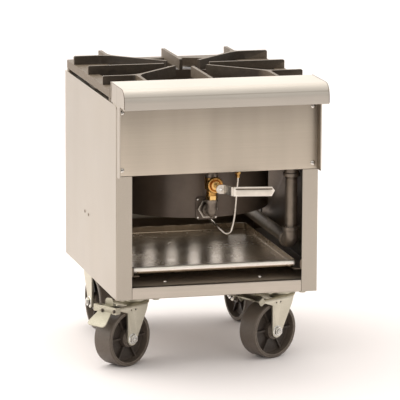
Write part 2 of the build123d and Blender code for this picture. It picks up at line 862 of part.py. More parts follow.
def make_pipe_clamp():
    """Strap round the supply pipe, fixed to the right side panel."""
    inner = main_radius + thread_clearance
    start = rear_y - clamp_back
    y = (start, start + clamp_width)
    ring = Circle(inner + clamp_strap) - Circle(inner)
    clamp = along_y(Pos(riser_x, supply_z) * ring, *y)
    leg_x = (riser_x + inner + clamp_strap / 2, inner_x)
    clamp += slab(leg_x, y, (supply_z - clamp_strap / 2, supply_z + clamp_strap / 2))
    return clamp + slab((inner_x - clamp_strap, inner_x), y, (supply_z - clamp_width, supply_z + clamp_width))


def pilot_valve_top():
    """Underside of the manifold's boss, where the pilot valve starts."""
    return manifold_z - main_radius - clamp_strap


def make_pilot_valve():
    """Brass fitting under the manifold, with a hexagon and a tube nut."""
    top = pilot_valve_top()
    middle = top - pilot_valve_length / 2
    low = top - pilot_valve_length
    valve = hexagon((pilot_valve_x, valve_y, middle), (0, 0, 1), pilot_hexagon, top - middle)
    valve += hexagon((pilot_valve_x, valve_y, low), (0, 0, 1), 0.7 * pilot_hexagon, middle - low)
    screw_start = (pilot_valve_x, valve_y - pilot_hexagon, (top + middle) / 2)
    valve += rod(screw_start, (0, 1, 0), 0.25 * pilot_hexagon, pilot_hexagon)
    hole = tube_radius + thread_clearance
    return valve - rod((pilot_valve_x, valve_y, low - 1), (0, 0, 1), hole, 1 + 2 * tube_radius)


def tube_route():
    """Corner points of the pilot tube, from the pilot valve down, across and up to the pilot."""
    top = pilot_valve_top() - pilot_valve_length + tube_radius
    low = chamber_bottom_z - 2 * tube_radius
    down = [(pilot_valve_x + x, valve_y + y, chamber_bottom_z + z) for x, y, z in tube_down_bends]
    under = [
        (pilot_valve_x + x, chamber_front_y + y, chamber_bottom_z + z) for x, y, z in tube_under_bends
    ]
    start = [(pilot_valve_x, valve_y, top), (pilot_valve_x, valve_y, top - 3 * tube_radius)]
    end = [(pilot_x, pilot_y, low), (pilot_x, pilot_y, burner_bottom_z + 3 * tube_radius)]
    return start + down + under + end


def make_pilot_tube():
    """Round tube along the route, its corners eased by tangent arcs."""
    points = [Vector(*point) for point in tube_route()]
    radii = []
    for before, here, after in zip(points, points[1:], points[2:]):
        turn = (here - before).get_angle(after - here)
        run = min((here - before).length, (after - here).length)
        half_turn = Vector(cos(radians(turn / 2)), sin(radians(turn / 2)), 0)
        radii.append(0.45 * run * half_turn.X / half_turn.Y)
    route = FilletPolyline(*points, radius=radii)
    start = Plane(origin=route @ 0, z_dir=route % 0)
    return sweep(start * Circle(tube_radius), path=route)


# valve and lever
def make_valve_body():
    """Brass barrel between the tee and the elbow, with a boss to the front."""
    top = manifold_z - fitting_reach + thread_depth - 2
    low = feed_z + fitting_reach - thread_depth + 2
    barrel_half = 13.0
    body = rod((0, valve_y, low), (0, 0, 1), pipe_radius, top - low)
    neck_low = feed_z + fitting_reach
    neck_top = manifold_z - fitting_reach
    body += rod((0, valve_y, neck_low), (0, 0, 1), valve_neck_radius, neck_top - neck_low)
    barrel_top = min(valve_z + barrel_half, neck_top)
    barrel_low = valve_z - barrel_half
    body += rod((0, valve_y, barrel_low), (0, 0, 1), valve_barrel_radius, barrel_top - barrel_low)
    body += hexagon((0, valve_y, neck_low), (0, 0, 1), 2 * valve_neck_radius, 9)
    boss_front = bonnet_y + bonnet_thickness
    body += rod((0, boss_front, valve_z), (0, 1, 0), neck_top - valve_z - 1.2, valve_y - boss_front)
    body += rod((0, boss_front, valve_z), (0, 1, 0), valve_barrel_radius - 2, 7.0)
    hole = stem_radius + running_clearance
    return body - rod((0, boss_front - 1, valve_z), (0, 1, 0), hole, stem_seat() + 1)


def stem_seat():
    """How far the stem runs into the valve body."""
    return valve_back - bonnet_front - bonnet_thickness


def make_valve_bonnet():
    """Round nut on the front of the valve: a raised ring, a dish inside it and the stem's gland."""
    hole = stem_radius + running_clearance
    slope = bonnet_thickness - bonnet_rim
    gland_top = bonnet_thickness + gland_reach
    profile = make_face(
        Polyline(
            (hole, 0),
            (bonnet_radius, 0),
            (bonnet_radius, bonnet_rim),
            (bonnet_radius - slope / 2, bonnet_thickness),
            (bonnet_radius - slope / 2 - bonnet_crest, bonnet_thickness),
            (gland_radius, bonnet_thickness - bonnet_dish),
            (gland_radius, gland_top),
            (hole, gland_top),
            close=True,
        )
    )
    crest = [v for v in profile.vertices() if v.Y > bonnet_rim - 0.01 and v.X > gland_radius + 0.01]
    profile = fillet(crest, bonnet_crest / 3)
    bonnet = revolve(profile, Axis.Y)
    seat = Plane(origin=(0, bonnet_y + bonnet_thickness, valve_z), z_dir=(0, -1, 0))
    return seat.location * Rot(90, 0, 0) * bonnet


def make_valve_stem():
    """Plated spindle from the valve to the lever's hub."""
    front = hub_y + lever_thickness / 2
    length = bonnet_y + bonnet_thickness + stem_seat() - 1 - front
    stem = rod((0, front, valve_z), (0, 1, 0), stem_radius, length)
    collar = rod((0, front, valve_z), (0, 1, 0), 1.5 * stem_radius, 8)
    return stem + collar - rod((0, front - 1, valve_z), (0, 1, 0), screw_shank_radius, screw_length + 1)


def lever_line():
    """Plan of the lever: hub, forward step and grip, as X-Y points."""
    bend = (7.0, hub_y)
    step = (lever_crank_run + 3, hub_y - lever_crank)
    tip_x = step[0] + grip_length * cos(radians(grip_angle))
    tip_y = step[1] - grip_length * sin(radians(grip_angle))
    return (-lever_height / 2, hub_y), bend, step, (tip_x, tip_y)


def make_valve_lever():
    """Flat bar on edge, stepped forward from the hub to a narrow tongue inside the grip."""
    tail, bend, step, tip = lever_line()
    half = lever_height / 2
    tongue = tuple(start + (end - start) * 0.3 for start, end in zip(step, tip))
    path = FilletPolyline(tail, bend, step, tongue, radius=4.0)
    plan = make_face(offset(path, amount=lever_thickness / 2, side=Side.BOTH))
    bar = along_z(plan, valve_z - half, valve_z + half)
    across_y = (tip[1], hub_y + half)
    tongue_half = half - grip_wall - lever_thickness / 2
    tongue_x = (step[0] + lever_neck / 2, tip[0])
    for low, high in ((-half - 1, -tongue_half), (tongue_half, half + 1)):
        bar -= slab(tongue_x, across_y, (valve_z + low, valve_z + high))
    square_end = slab((-2 * half, 0), across_y, (valve_z - half - 1, valve_z + half + 1))
    bar -= square_end - rod((0, tip[1] - 1, valve_z), (0, 1, 0), half, across_y[1] - tip[1] + 2)
    return bar - rod((0, hub_y - 5, valve_z), (0, 1, 0), screw_shank_radius + screw_clearance, 10)


def make_lever_grip():
    """Folded sheet sleeve over the lever's tongue, open at the bottom, with a sloped end."""
    _, _, step, _ = lever_line()
    half_thickness = lever_thickness / 2 + grip_wall
    half_height = lever_height / 2 + 0.3
    section = folded(
        [
            (-half_thickness, -half_height),
            (-half_thickness, half_height),
            (half_thickness, half_height),
            (half_thickness, -half_height),
        ],
        thickness=grip_wall,
        radius=half_thickness - 0.01,
        side=Side.RIGHT,
    )
    grip = extrude(Plane.YZ * section, grip_length)
    start = grip_length - grip_slope
    end_points = [
        (start, -half_height),
        (grip_length, half_height - grip_nose),
        (start, half_height),
        (start, 2 * half_height),
        (2 * grip_length, 2 * half_height),
        (2 * grip_length, -2 * half_height),
        (start, -2 * half_height),
    ]
    beyond = Plane.XZ * make_face(Polyline(*end_points, close=True))
    grip -= extrude(beyond, 2 * half_thickness, both=True)
    place = Pos(step[0], step[1], valve_z) * Rot(0, 0, -grip_angle) * Pos(lever_neck, 0, 0)
    return place * grip


def make_lever_screw():
    """Holds the lever on its stem."""
    return make_round_screw((0, hub_y - lever_thickness / 2, valve_z), (0, 1, 0), 3.8)


# drip tray
def make_drip_tray():
    """Shallow pan with a fat rolled lip at the front and a small one at the back."""
    half = half_width - tray_side
    back = tray_front_y + tray_depth
    pan = slab((-half, half), (tray_front_y, back), (tray_bottom_z, tray_bottom_z + tray_wall))
    pan = fillet(pan.edges().filter_by(Axis.Z), tray_corner_radius)
    pan = chamfer(pan.faces().sort_by(Axis.Z)[0].edges(), 2.0)
    pan = offset(pan, amount=-tray_sheet, openings=pan.faces().sort_by(Axis.Z)[-1])
    reach = half - tray_bead_inset
    lip_z = tray_bottom_z + tray_wall - tray_bead
    lip_y = tray_front_y - tray_bead + tray_sheet
    lip = rod((-reach, lip_y, lip_z), (1, 0, 0), tray_bead, 2 * reach)
    lip = chamfer(lip.edges().filter_by(GeomType.CIRCLE), tray_bead / 3)
    small = tray_bead / 2
    rear_reach = half - tray_corner_radius
    rear_start = (-rear_reach, back + small - tray_sheet, tray_bottom_z + tray_wall - small)
    return pan + lip + rod(rear_start, (1, 0, 0), small, 2 * rear_reach)


def make_tray_runner():
    """Right runner: leg on the side panel, shelf under the tray and front tab."""
    top = base_z + runner_height
    inner = inner_x - runner_shelf
    section = folded(
        [
            (inner_x, top + runner_leg),
            (inner_x, top - sheet),
            (inner, top - sheet),
        ],
        side=Side.RIGHT,
    )
    start = front_y + 2 * sheet + fold_gap
    runner = along_y(section, start, start + tray_depth + tray_front)
    tab_x = (half_width - runner_tab, half_width - bend_radius - fold_gap)
    tab_y = (front_y + sheet, front_y + 2 * sheet + fold_gap)
    tab = slab(tab_x, tab_y, (top - sheet, top + runner_leg - 6))
    tab = fillet(tab.edges().filter_by(Axis.Y).group_by(Axis.X)[0], 6.0)
    return runner + tab


# casters
def caster_place(name):
    """Puts a caster built about its own swivel axis, trailing along +X, in its place."""
    side, front, angle, _ = casters[name]
    return Pos(side * swivel_x, front_swivel_y if front else rear_swivel_y, 0) * Rot(0, 0, angle)


def make_caster_plate(name):
    """Drilled top plate with the upper race and the riveted kingpin; it doesn't swivel."""
    side, front, _, _ = casters[name]
    low = base_z - plate_thickness
    plate = along_z(RectangleRounded(plate_width, plate_length, plate_corner_radius), low, base_z)
    for step_x in (-0.5, 0.5):
        for step_y in (-0.5, 0.5):
            spot = (step_x * bolt_spacing_x, step_y * bolt_spacing_y, low - 1)
            plate -= rod(spot, (0, 0, 1), bolt_radius, plate_thickness + 2)
    race_low = lower_race_top() + race_gap
    plate += Pos(0, 0, (race_low + low) / 2) * Cone(race_radius - 6, race_radius, low - race_low)
    pin_low = fork_top - fork_sheet - race_gap - kingpin_nut_height
    plate += rod((0, 0, pin_low - 2), (0, 0, 1), kingpin_radius, low - pin_low + 2)
    nut = hexagon((0, 0, pin_low), (0, 0, 1), kingpin_nut_width, kingpin_nut_height)
    return Pos(side * swivel_x, front_swivel_y if front else rear_swivel_y, 0) * (plate + nut)


def lower_race_top():
    """Top of the ball race on the fork's crown."""
    return fork_top + crown_height


def make_fork(brake):
    """Folded U with round front, tapered legs, axle bosses and rear arms."""
    outer = fork_gap / 2 + fork_sheet
    axle_z = wheel_radius
    low = axle_z - fork_boss_radius
    arm_end = fork_arm if brake else swivel_offset + fork_boss_radius + 12
    arm_low = fork_top - fork_arm_depth
    section = folded(
        [(-outer, low), (-outer, fork_top), (outer, fork_top), (outer, low)],
        thickness=fork_sheet,
        radius=2 * fork_sheet,
        side=Side.RIGHT,
    )
    body = along_x(section, -outer, arm_end + fork_arm_depth / 2)
    front = swivel_offset - fork_boss_radius
    rear = swivel_offset + fork_boss_radius - 1
    outline = Polyline(
        (-outer, fork_top),
        (-outer, fork_top - fork_sheet),
        (-12, fork_top - fork_sheet),
        (front, axle_z),
        (front, low),
        (rear, low),
        (rear, fork_top - fork_arm_depth - 8),
        (arm_end - fork_arm_depth, arm_low),
        (arm_end + fork_arm_depth / 2, arm_low),
        (arm_end + fork_arm_depth / 2, fork_top),
        close=True,
    )
    profile = make_face(outline)
    bosses = [v for v in profile.vertices() if v.Y < low + 0.01]
    profile = fillet(bosses, fork_boss_radius - 0.6)
    tip = [v for v in profile.vertices() if v.X > arm_end and (brake or v.Y < fork_top - 0.01)]
    profile = fillet(tip, 0.4 * fork_arm_depth)
    body = body & along_y(profile, -outer, outer)
    plan = Pos(arm_end / 2, 0) * Rectangle(arm_end + fork_arm_depth, 2 * outer)
    plan += Ellipse(fork_front_radius, outer)
    body = body & along_z(plan, low, fork_top)
    # The top sheet stops short of the hinge, and the legs alone carry it.
    if brake:
        gap_x = (arm_end - pedal_tab_back - 2 * fork_arm_depth, arm_end + fork_arm_depth)
        body -= slab(gap_x, (-fork_gap / 2, fork_gap / 2), (arm_low - 1, fork_top + 1))
    body += rod((0, 0, fork_top), (0, 0, 1), crown_radius, lower_race_top() - fork_top)
    hole = kingpin_radius + running_clearance
    body -= rod((0, 0, fork_top - 2 * fork_sheet), (0, 0, 1), hole, base_z - fork_top)
    side_holes = [(swivel_offset, axle_z, axle_radius + running_clearance)]
    side_holes += [(x, fork_top - fork_hole_drop, fork_hole_radius) for x in fork_hole_row]
    if brake:
        side_holes.append((fork_arm, hinge_z(), hinge_pin_radius + running_clearance))
    for x, z, radius in side_holes:
        body -= rod((x, -outer - 1, z), (0, 1, 0), radius, 2 * outer + 2)
    return body


def hinge_z():
    """Height of the brake pedal's hinge."""
    return fork_top - fork_arm_depth / 2


def make_wheel():
    """Solid tyre and dished web with radial ribs and a long hub, turned about its axle."""
    half = wheel_width / 2
    web = half - wheel_recess
    rim = wheel_radius - wheel_rim
    quarter = [
        (axle_radius + running_clearance, 0),
        (axle_radius + running_clearance, hub_length / 2),
        (hub_radius - 3 * hub_step, hub_length / 2),
        (hub_radius - 3 * hub_step, half),
        (hub_radius - 1.5 * hub_step, half),
        (hub_radius - 1.5 * hub_step, half - hub_step),
        (hub_radius, half - hub_step),
        (hub_radius + hub_step, web),
        (rim - 1.5 * hub_step, web),
        (rim, half),
        (wheel_radius, half),
        (wheel_radius, 0),
    ]
    profile = make_face(Polyline(*quarter, close=True))
    shoulder = profile.vertices().sort_by_distance((wheel_radius, half))[0]
    profile = fillet(shoulder, wheel_edge_radius)
    wheel = revolve(Plane.XZ * profile, Axis.Z)
    ribs = []
    rib_x = (hub_radius - hub_step / 2, rim + hub_step / 2)
    for index in range(wheel_rib_count):
        rib = slab(rib_x, (-wheel_rib_thickness / 2, wheel_rib_thickness / 2), (0, half - wheel_rib_inset))
        ribs.append(Rot(0, 0, index * 360 / wheel_rib_count) * rib)
    wheel = wheel + ribs
    wheel = wheel + mirror(wheel, about=Plane.XY)
    return Pos(swivel_offset, 0, wheel_radius) * Rot(90, 0, 0) * wheel


def make_axle():
    """Bolt through the fork and hub, with its nut."""
    outer = fork_gap / 2 + fork_sheet
    start = (swivel_offset, -outer - axle_head_height, wheel_radius)
    end_y = outer + axle_head_height
    bolt = rod(start, (0, 1, 0), axle_radius, 2 * end_y + 3)
    bolt += hexagon(start, (0, 1, 0), axle_head_width, axle_head_height)
    nut_at = (swivel_offset, outer, wheel_radius)
    bolt += hexagon(nut_at, (0, 1, 0), axle_head_width, axle_head_height)
    return bolt + rod(nut_at, (0, 1, 0), axle_head_width / 2 + 2.5, 1.5)


def make_brake_pedal(share):
    """Bent plate with ears, hinge pin, upright tab and flared tread, lifted by a share of its turn."""
    ear_gap = fork_gap / 2 + fork_sheet + race_gap
    ear_out = ear_gap + pedal_sheet
    z = hinge_z()
    top = z + fork_arm_depth / 2
    face = fork_arm + fork_arm_depth / 2 + 1.0
    front = face + pedal_sheet
    bridge_low = z - fork_arm_depth
    pedal = slab((face, front), (-ear_out, ear_out), (bridge_low, top))
    for low, high in ((-ear_out, -ear_gap), (ear_gap, ear_out)):
        ear = slab((fork_arm - 6, front), (low, high), (bridge_low, top))
        rear_edges = ear.edges().filter_by(Axis.Y).group_by(Axis.X)[0]
        pedal += fillet(rear_edges, 0.4 * fork_arm_depth)
    tab_x = face - pedal_tab_back
    tab_y = (-pedal_tab_width / 2, pedal_tab_width / 2)
    tab = slab((tab_x, tab_x + pedal_sheet), tab_y, (top - pedal_sheet, top + pedal_tab_rise))
    tab = fillet(tab.edges().filter_by(Axis.X).group_by(Axis.Z)[-1], pedal_tab_width / 3)
    pedal += tab + slab((tab_x, front), tab_y, (top - pedal_sheet, top))
    pedal += rod((fork_arm, -ear_out, z), (0, 1, 0), hinge_pin_radius, 2 * ear_out)
    run = sqrt(pedal_out**2 + pedal_drop**2)
    tread = make_face(
        Polyline(
            (0, -pedal_width / 2),
            (run, -pedal_tip_width / 2),
            (run, pedal_tip_width / 2),
            (0, pedal_width / 2),
            close=True,
        )
    )
    tips = tread.vertices().group_by(Axis.X)[-1]
    tread = fillet(tips, pedal_tip_width / 7)
    slope = Plane(
        origin=(face, 0, bridge_low + pedal_sheet / 2),
        x_dir=(pedal_out, 0, -pedal_drop),
        z_dir=(pedal_drop, 0, pedal_out),
    )
    pedal += extrude(slope * tread, pedal_sheet)
    hinge = Axis((fork_arm, 0, z), (0, -1, 0))
    return pedal.rotate(hinge, share * pedal_lift) if share else pedal


def build_all():
    """Every piece by name, in its place."""
    right_side = make_side_panel()
    right_wing = make_wing_plate()
    right_runner = make_tray_runner()
    rear_channel = rear_swivel_y - channel_width / 2
    parts = {
        "right_side_panel": right_side,
        "left_side_panel": other_side(right_side),
        "bottom_front_rail": make_bottom_front_rail(),
        "cabinet_floor": make_cabinet_floor(),
        "front_caster_channel": make_caster_channel(front_y + channel_front),
        "rear_caster_channel": make_caster_channel(rear_channel),
        "caster_plate_bolts": make_plate_bolts(),
        "rear_rail": make_rear_rail(),
        "rear_panel": make_rear_panel(),
        "front_panel": make_front_panel(),
        "front_panel_screws": make_front_panel_screws(),
        "landing_ledge": make_landing_ledge(),
        "right_wing_plate": right_wing,
        "left_wing_plate": other_side(right_wing),
        "top_grate": make_top_grate(),
        "burner_chamber": make_burner_chamber(),
        "burner_support_bar": make_burner_support(),
        "burner_body": make_burner_body(),
        "burner_jets": make_burner_jets(),
        "burner_feed_pipe": make_feed_pipe(),
        "feed_flange": make_feed_flange(),
        "feed_locknut": make_locknut(),
        "pilot_burner": make_pilot_burner(),
        "pilot_valve": make_pilot_valve(),
        "pilot_tube": make_pilot_tube(),
        "gas_manifold": make_gas_manifold(),
        "manifold_tee": make_manifold_tee(),
        "manifold_elbow": make_manifold_elbow(),
        "supply_riser": make_supply_riser(),
        "supply_elbow": make_supply_elbow(),
        "supply_pipe": make_supply_pipe(),
        "supply_pipe_clamp": make_pipe_clamp(),
        "valve_body": make_valve_body(),
        "valve_bonnet": make_valve_bonnet(),
        "valve_elbow": make_valve_elbow(),
        "valve_stem": make_valve_stem(),
        "valve_lever": make_valve_lever(),
        "lever_grip": make_lever_grip(),
        "lever_screw": make_lever_screw(),
        "drip_tray": make_drip_tray(),
        "right_tray_runner": right_runner,
        "left_tray_runner": other_side(right_runner),
    }
    wheel = make_wheel()
    axle = make_axle()
    for name, (_, _, _, lift) in casters.items():
        place = caster_place(name)
        parts[name + "_caster_plate"] = make_caster_plate(name)
        parts[name + "_fork"] = place * make_fork(lift is not None)
        parts[name + "_wheel"] = place * wheel
        parts[name + "_axle"] = place * axle
        if lift is not None:
            parts[name + "_brake_pedal"] = place * make_brake_pedal(lift)
    return parts


os.makedirs("parts", exist_ok=True)
for node, shape in build_all().items():
    export_step(shape, f"parts/{node}.step")
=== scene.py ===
# Stock pot range: finishes, small fittings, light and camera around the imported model.
import json
import math

import bmesh
import bpy
import numpy as np
from mathutils import Matrix, Vector

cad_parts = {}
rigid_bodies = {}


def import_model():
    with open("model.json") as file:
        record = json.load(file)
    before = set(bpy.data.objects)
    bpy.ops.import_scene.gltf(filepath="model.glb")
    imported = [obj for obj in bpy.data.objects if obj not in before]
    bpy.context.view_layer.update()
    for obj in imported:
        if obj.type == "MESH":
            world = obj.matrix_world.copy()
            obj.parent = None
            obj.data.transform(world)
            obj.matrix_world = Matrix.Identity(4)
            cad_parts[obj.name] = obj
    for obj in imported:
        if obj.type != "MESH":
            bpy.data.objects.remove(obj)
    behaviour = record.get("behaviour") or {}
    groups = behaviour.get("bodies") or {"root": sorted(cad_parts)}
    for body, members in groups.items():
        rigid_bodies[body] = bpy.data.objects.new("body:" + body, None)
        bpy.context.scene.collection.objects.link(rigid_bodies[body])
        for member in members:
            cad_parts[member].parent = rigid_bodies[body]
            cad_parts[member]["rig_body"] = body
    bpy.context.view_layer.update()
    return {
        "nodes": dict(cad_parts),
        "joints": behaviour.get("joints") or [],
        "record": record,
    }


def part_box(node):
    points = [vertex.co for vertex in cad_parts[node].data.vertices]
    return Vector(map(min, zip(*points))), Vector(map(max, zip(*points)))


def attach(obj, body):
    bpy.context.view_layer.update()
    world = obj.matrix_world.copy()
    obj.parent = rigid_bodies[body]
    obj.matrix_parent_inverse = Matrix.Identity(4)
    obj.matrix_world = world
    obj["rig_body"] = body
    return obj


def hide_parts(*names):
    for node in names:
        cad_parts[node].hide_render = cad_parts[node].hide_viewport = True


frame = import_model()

slotOf = {part["node"]: part["material_slot"] for part in frame["record"]["subparts"]}
print("frame loaded:", len(frame["nodes"]), "nodes")


def linearColour(red, green, blue):
    # screen values from 0 to 255 turned to linear light: ((v + 0.055) / 1.055) to the power 2.4
    values = [((v / 255 + 0.055) / 1.055) ** 2.4 for v in (red, green, blue)]
    return (*values, 1.0)


class Finish:
    # one material with its shader, and short ways to add the nodes that drive it, in object metres

    def __init__(self, name, metallic=0.0, specular=0.5):
        self.material = bpy.data.materials.new(name)
        self.material.use_nodes = True
        self.nodes = self.material.node_tree.nodes
        self.links = self.material.node_tree.links
        self.shader = self.nodes["Principled BSDF"]
        self.shader.inputs["Metallic"].default_value = metallic
        self.shader.inputs["Specular IOR Level"].default_value = specular
        self.place = self.nodes.new("ShaderNodeTexCoord").outputs["Object"]
        self.height = None

    def stretched(self, scale):
        # object coordinates times a scale on each axis
        mapping = self.nodes.new("ShaderNodeMapping")
        mapping.inputs["Scale"].default_value = scale
        self.links.new(self.place, mapping.inputs["Vector"])
        return mapping.outputs["Vector"]

    def noise(self, scale, detail=4.0, roughness=0.55, vector=None):
        node = self.nodes.new("ShaderNodeTexNoise")
        node.inputs["Scale"].default_value = scale
        node.inputs["Detail"].default_value = detail
        node.inputs["Roughness"].default_value = roughness
        self.links.new(vector or self.place, node.inputs["Vector"])
        return node.outputs["Fac"]

    def cells(self, scale):
        # one grey value for each cell of a scattered pattern
        node = self.nodes.new("ShaderNodeTexVoronoi")
        node.inputs["Scale"].default_value = scale
        self.links.new(self.place, node.inputs["Vector"])
        grey = self.nodes.new("ShaderNodeSeparateColor")
        self.links.new(node.outputs["Color"], grey.inputs["Color"])
        return grey.outputs["Red"]

    def remap(self, value, low, high, fromLow=0.3, fromHigh=0.7):
        # a straight line from one range of values to another, cut off at both ends
        node = self.nodes.new("ShaderNodeMapRange")
        limits = {"From Min": fromLow, "From Max": fromHigh, "To Min": low, "To Max": high}
        for name, number in limits.items():
            node.inputs[name].default_value = number
        self.links.new(value, node.inputs["Value"])
        return node.outputs["Result"]

    def together(self, first, second):
        # one value times the other
        node = self.nodes.new("ShaderNodeMath")
        node.operation = "MULTIPLY"
        self.links.new(first, node.inputs[0])
        self.links.new(second, node.inputs[1])
        return node.outputs["Value"]

    def colours(self, value, stops):
        # a ramp of colours along a value: stops are (position, colour)
        ramp = self.nodes.new("ShaderNodeValToRGB").color_ramp
        node = self.nodes[-1]
        while len(ramp.elements) < len(stops):
            ramp.elements.new(0.5)
        for element, (position, colour) in zip(ramp.elements, stops):
            element.position = position
            element.color = colour
        self.links.new(value, node.inputs["Fac"])
        return node.outputs["Color"]

    def blend(self, share, first, second):
        # first where share is 0 and second where it is 1
        node = self.nodes.new("ShaderNodeMix")
        node.data_type = "RGBA"
        self.links.new(share, node.inputs["Factor"])
        self.links.new(first, node.inputs["A"])
        self.links.new(second, node.inputs["B"])
        return node.outputs["Result"]

    def coordinate(self, axis):
        # metres along one object axis
        split = self.nodes.new("ShaderNodeSeparateXYZ")
        self.links.new(self.place, split.inputs["Vector"])
        return split.outputs[axis]

    def along(self, axis, low, high, start, end):
        # a straight line along one object axis, from low at start metres to high at end metres
        return self.remap(self.coordinate(axis), low, high, start, end)

    def dimmed(self, colour, factor):
        # the colour times a grey value
        node = self.nodes.new("ShaderNodeVectorMath")
        node.operation = "SCALE"
        self.links.new(colour, node.inputs[0])
        self.links.new(factor, node.inputs["Scale"])
        return node.outputs["Vector"]

    def band(self, value, middle, width):
        # 1 where the value is near the middle, falling in a straight line to 0 at the width
        away = self.nodes.new("ShaderNodeMath")
        away.operation = "SUBTRACT"
        away.inputs[1].default_value = middle
        self.links.new(value, away.inputs[0])
        size = self.nodes.new("ShaderNodeMath")
        size.operation = "ABSOLUTE"
        self.links.new(away.outputs["Value"], size.inputs[0])
        return self.remap(size.outputs["Value"], 1.0, 0.0, 0.0, width)

    def fromAxle(self, centre, axle):
        # distance from the line of an axle: length of the cross product of the offset and the axle
        offset = self.nodes.new("ShaderNodeVectorMath")
        offset.operation = "SUBTRACT"
        offset.inputs[1].default_value = centre
        self.links.new(self.place, offset.inputs[0])
        across = self.nodes.new("ShaderNodeVectorMath")
        across.operation = "CROSS_PRODUCT"
        across.inputs[1].default_value = axle
        self.links.new(offset.outputs["Vector"], across.inputs[0])
        distance = self.nodes.new("ShaderNodeVectorMath")
        distance.operation = "LENGTH"
        self.links.new(across.outputs["Vector"], distance.inputs[0])
        return distance.outputs["Value"]

    def inward(self, axis):
        # 1 on faces that look back towards the middle of the object along one axis
        outwardness = self.together(self.coordinate(axis), self.facing(axis))
        return self.remap(outwardness, 1.0, 0.0, -0.2, -0.1)

    def facing(self, axis):
        # how far the surface looks along an axis: 1 straight at it, 0 sideways, negative away
        geometry = self.nodes.new("ShaderNodeNewGeometry")
        split = self.nodes.new("ShaderNodeSeparateXYZ")
        self.links.new(geometry.outputs["Normal"], split.inputs["Vector"])
        return split.outputs[axis]

    def edges(self, low=0.505, high=0.56):
        # 1 on worn outer edges, from the curve of the surface
        geometry = self.nodes.new("ShaderNodeNewGeometry")
        return self.remap(geometry.outputs["Pointiness"], 0.0, 1.0, low, high)

    def paint(self, colour):
        self.links.new(colour, self.shader.inputs["Base Color"])

    def polish(self, roughness):
        self.links.new(roughness, self.shader.inputs["Roughness"])

    def relief(self, value, distance, strength=1.0):
        # small bumps of the surface, added to those already there
        bump = self.nodes.new("ShaderNodeBump")
        bump.inputs["Strength"].default_value = strength
        bump.inputs["Distance"].default_value = distance
        self.links.new(value, bump.inputs["Height"])
        if self.height:
            self.links.new(self.height, bump.inputs["Normal"])
        self.height = bump.outputs["Normal"]
        self.links.new(self.height, self.shader.inputs["Normal"])


def brushedStainless(name, grainAlong, settings):
    # fine parallel scratches along one axis, soft clouds of handling and smears wiped downwards; some
    # sheets also get painted light and shade by height, painted shade lines at a fold and at a crease,
    # and painted shade on inner faces
    finish = Finish(name, metallic=settings["metallic"])
    scale = [settings["scratchesPerMetre"]] * 3
    scale["XYZ".index(grainAlong)] = settings["alongGrain"]
    scratch = finish.noise(1.0, 3.0, 0.6, finish.stretched(scale))
    cloud = finish.noise(settings["cloudScale"], 3.0, 0.5)
    smear = finish.noise(1.0, 2.0, 0.45, finish.stretched(settings["smearScale"]))
    base = finish.colours(scratch, [(0.3, settings["dark"]), (0.7, settings["light"])])
    worn = finish.colours(cloud, [(0.35, settings["cloudDark"]), (0.7, settings["light"])])
    colour = finish.blend(finish.remap(cloud, 0.15, 0.5), base, worn)
    tone = finish.remap(smear, 1 - settings["smearDepth"], 1 + settings["smearDepth"])
    # painted light and shade: the colour is scaled by height
    for fade in settings.get("fades", ()):
        tone = finish.together(tone, finish.along("Z", *fade))
    colour = finish.dimmed(colour, tone)
    # painted shade: a dark line along the fold at the front corner
    if "foldY" in settings:
        line = finish.band(finish.coordinate("Y"), settings["foldY"], settings["foldWidth"])
        shade = finish.colours(cloud, [(0.3, settings["inside"]), (0.7, settings["dark"])])
        colour = finish.blend(line, colour, shade)
    # painted shade: a dark line where the bullnose meets the front
    if "crease" in settings:
        line = finish.band(finish.coordinate("Z"), settings["creaseZ"], settings["creaseWidth"])
        shade = finish.colours(scratch, [(0.3, settings["crease"]), (0.7, settings["dark"])])
        colour = finish.blend(line, colour, shade)
    # painted shade on faces that look back into the cabinet
    if "inside" in settings:
        shadedInside = finish.colours(cloud, [(0.35, settings["inside"]), (0.7, settings["insideLight"])])
        colour = finish.blend(finish.inward(settings["insideAxis"]), colour, shadedInside)
    finish.paint(colour)
    roughCloud = finish.remap(cloud, settings["roughness"] - 0.04, settings["roughness"] + 0.05)
    roughScratch = finish.remap(scratch, 0.85, 1.15)
    finish.polish(finish.together(roughCloud, roughScratch))
    finish.relief(scratch, settings["scratchDepth"], 0.5)
    return finish.material


def castIronSurface(name, settings):
    # sand-cast skin: grains, low swells, pale specks, rubbed tops and edges, and painted light on
    # left faces and on front faces towards the rear
    finish = Finish(name, metallic=settings["metallic"], specular=settings["specular"])
    grain = finish.noise(settings["grainScale"], 5.0, 0.65)
    swell = finish.noise(settings["swellScale"], 3.0, 0.5)
    base = finish.colours(swell, [(0.3, settings["dark"]), (0.7, settings["light"])])
    rubbed = finish.colours(grain, [(0.3, settings["light"]), (0.7, settings["rubbed"])])
    topWear = finish.remap(finish.facing("Z"), 0.0, settings["topWear"], 0.6, 0.95)
    top = finish.blend(topWear, base, rubbed)
    worn = finish.blend(finish.edges(settings["edgeLow"], settings["edgeHigh"]), top, rubbed)
    # painted light: faces that look to the left are lighter
    leftLight = finish.remap(finish.facing("X"), settings["leftWear"], 0.0, -0.95, -0.7)
    worn = finish.blend(leftLight, worn, rubbed)
    # painted light: front faces behind 0.165 to 0.175 m are lighter, for the grate's rear wall
    rearWall = finish.together(finish.facing("Y"), finish.along("Y", 0.0, -1.0, *settings["rearStart"]))
    worn = finish.blend(finish.remap(rearWall, 0.0, settings["rearWear"], 0.1, 0.6), worn, rubbed)
    speck = finish.remap(grain, 0.0, 0.7, 0.62, 0.78)
    finish.paint(finish.blend(speck, worn, rubbed))
    finish.polish(finish.remap(grain, settings["roughness"] - 0.1, settings["roughness"] + 0.12))
    finish.relief(grain, settings["grainDepth"])
    finish.relief(swell, settings["swellDepth"])
    return finish.material


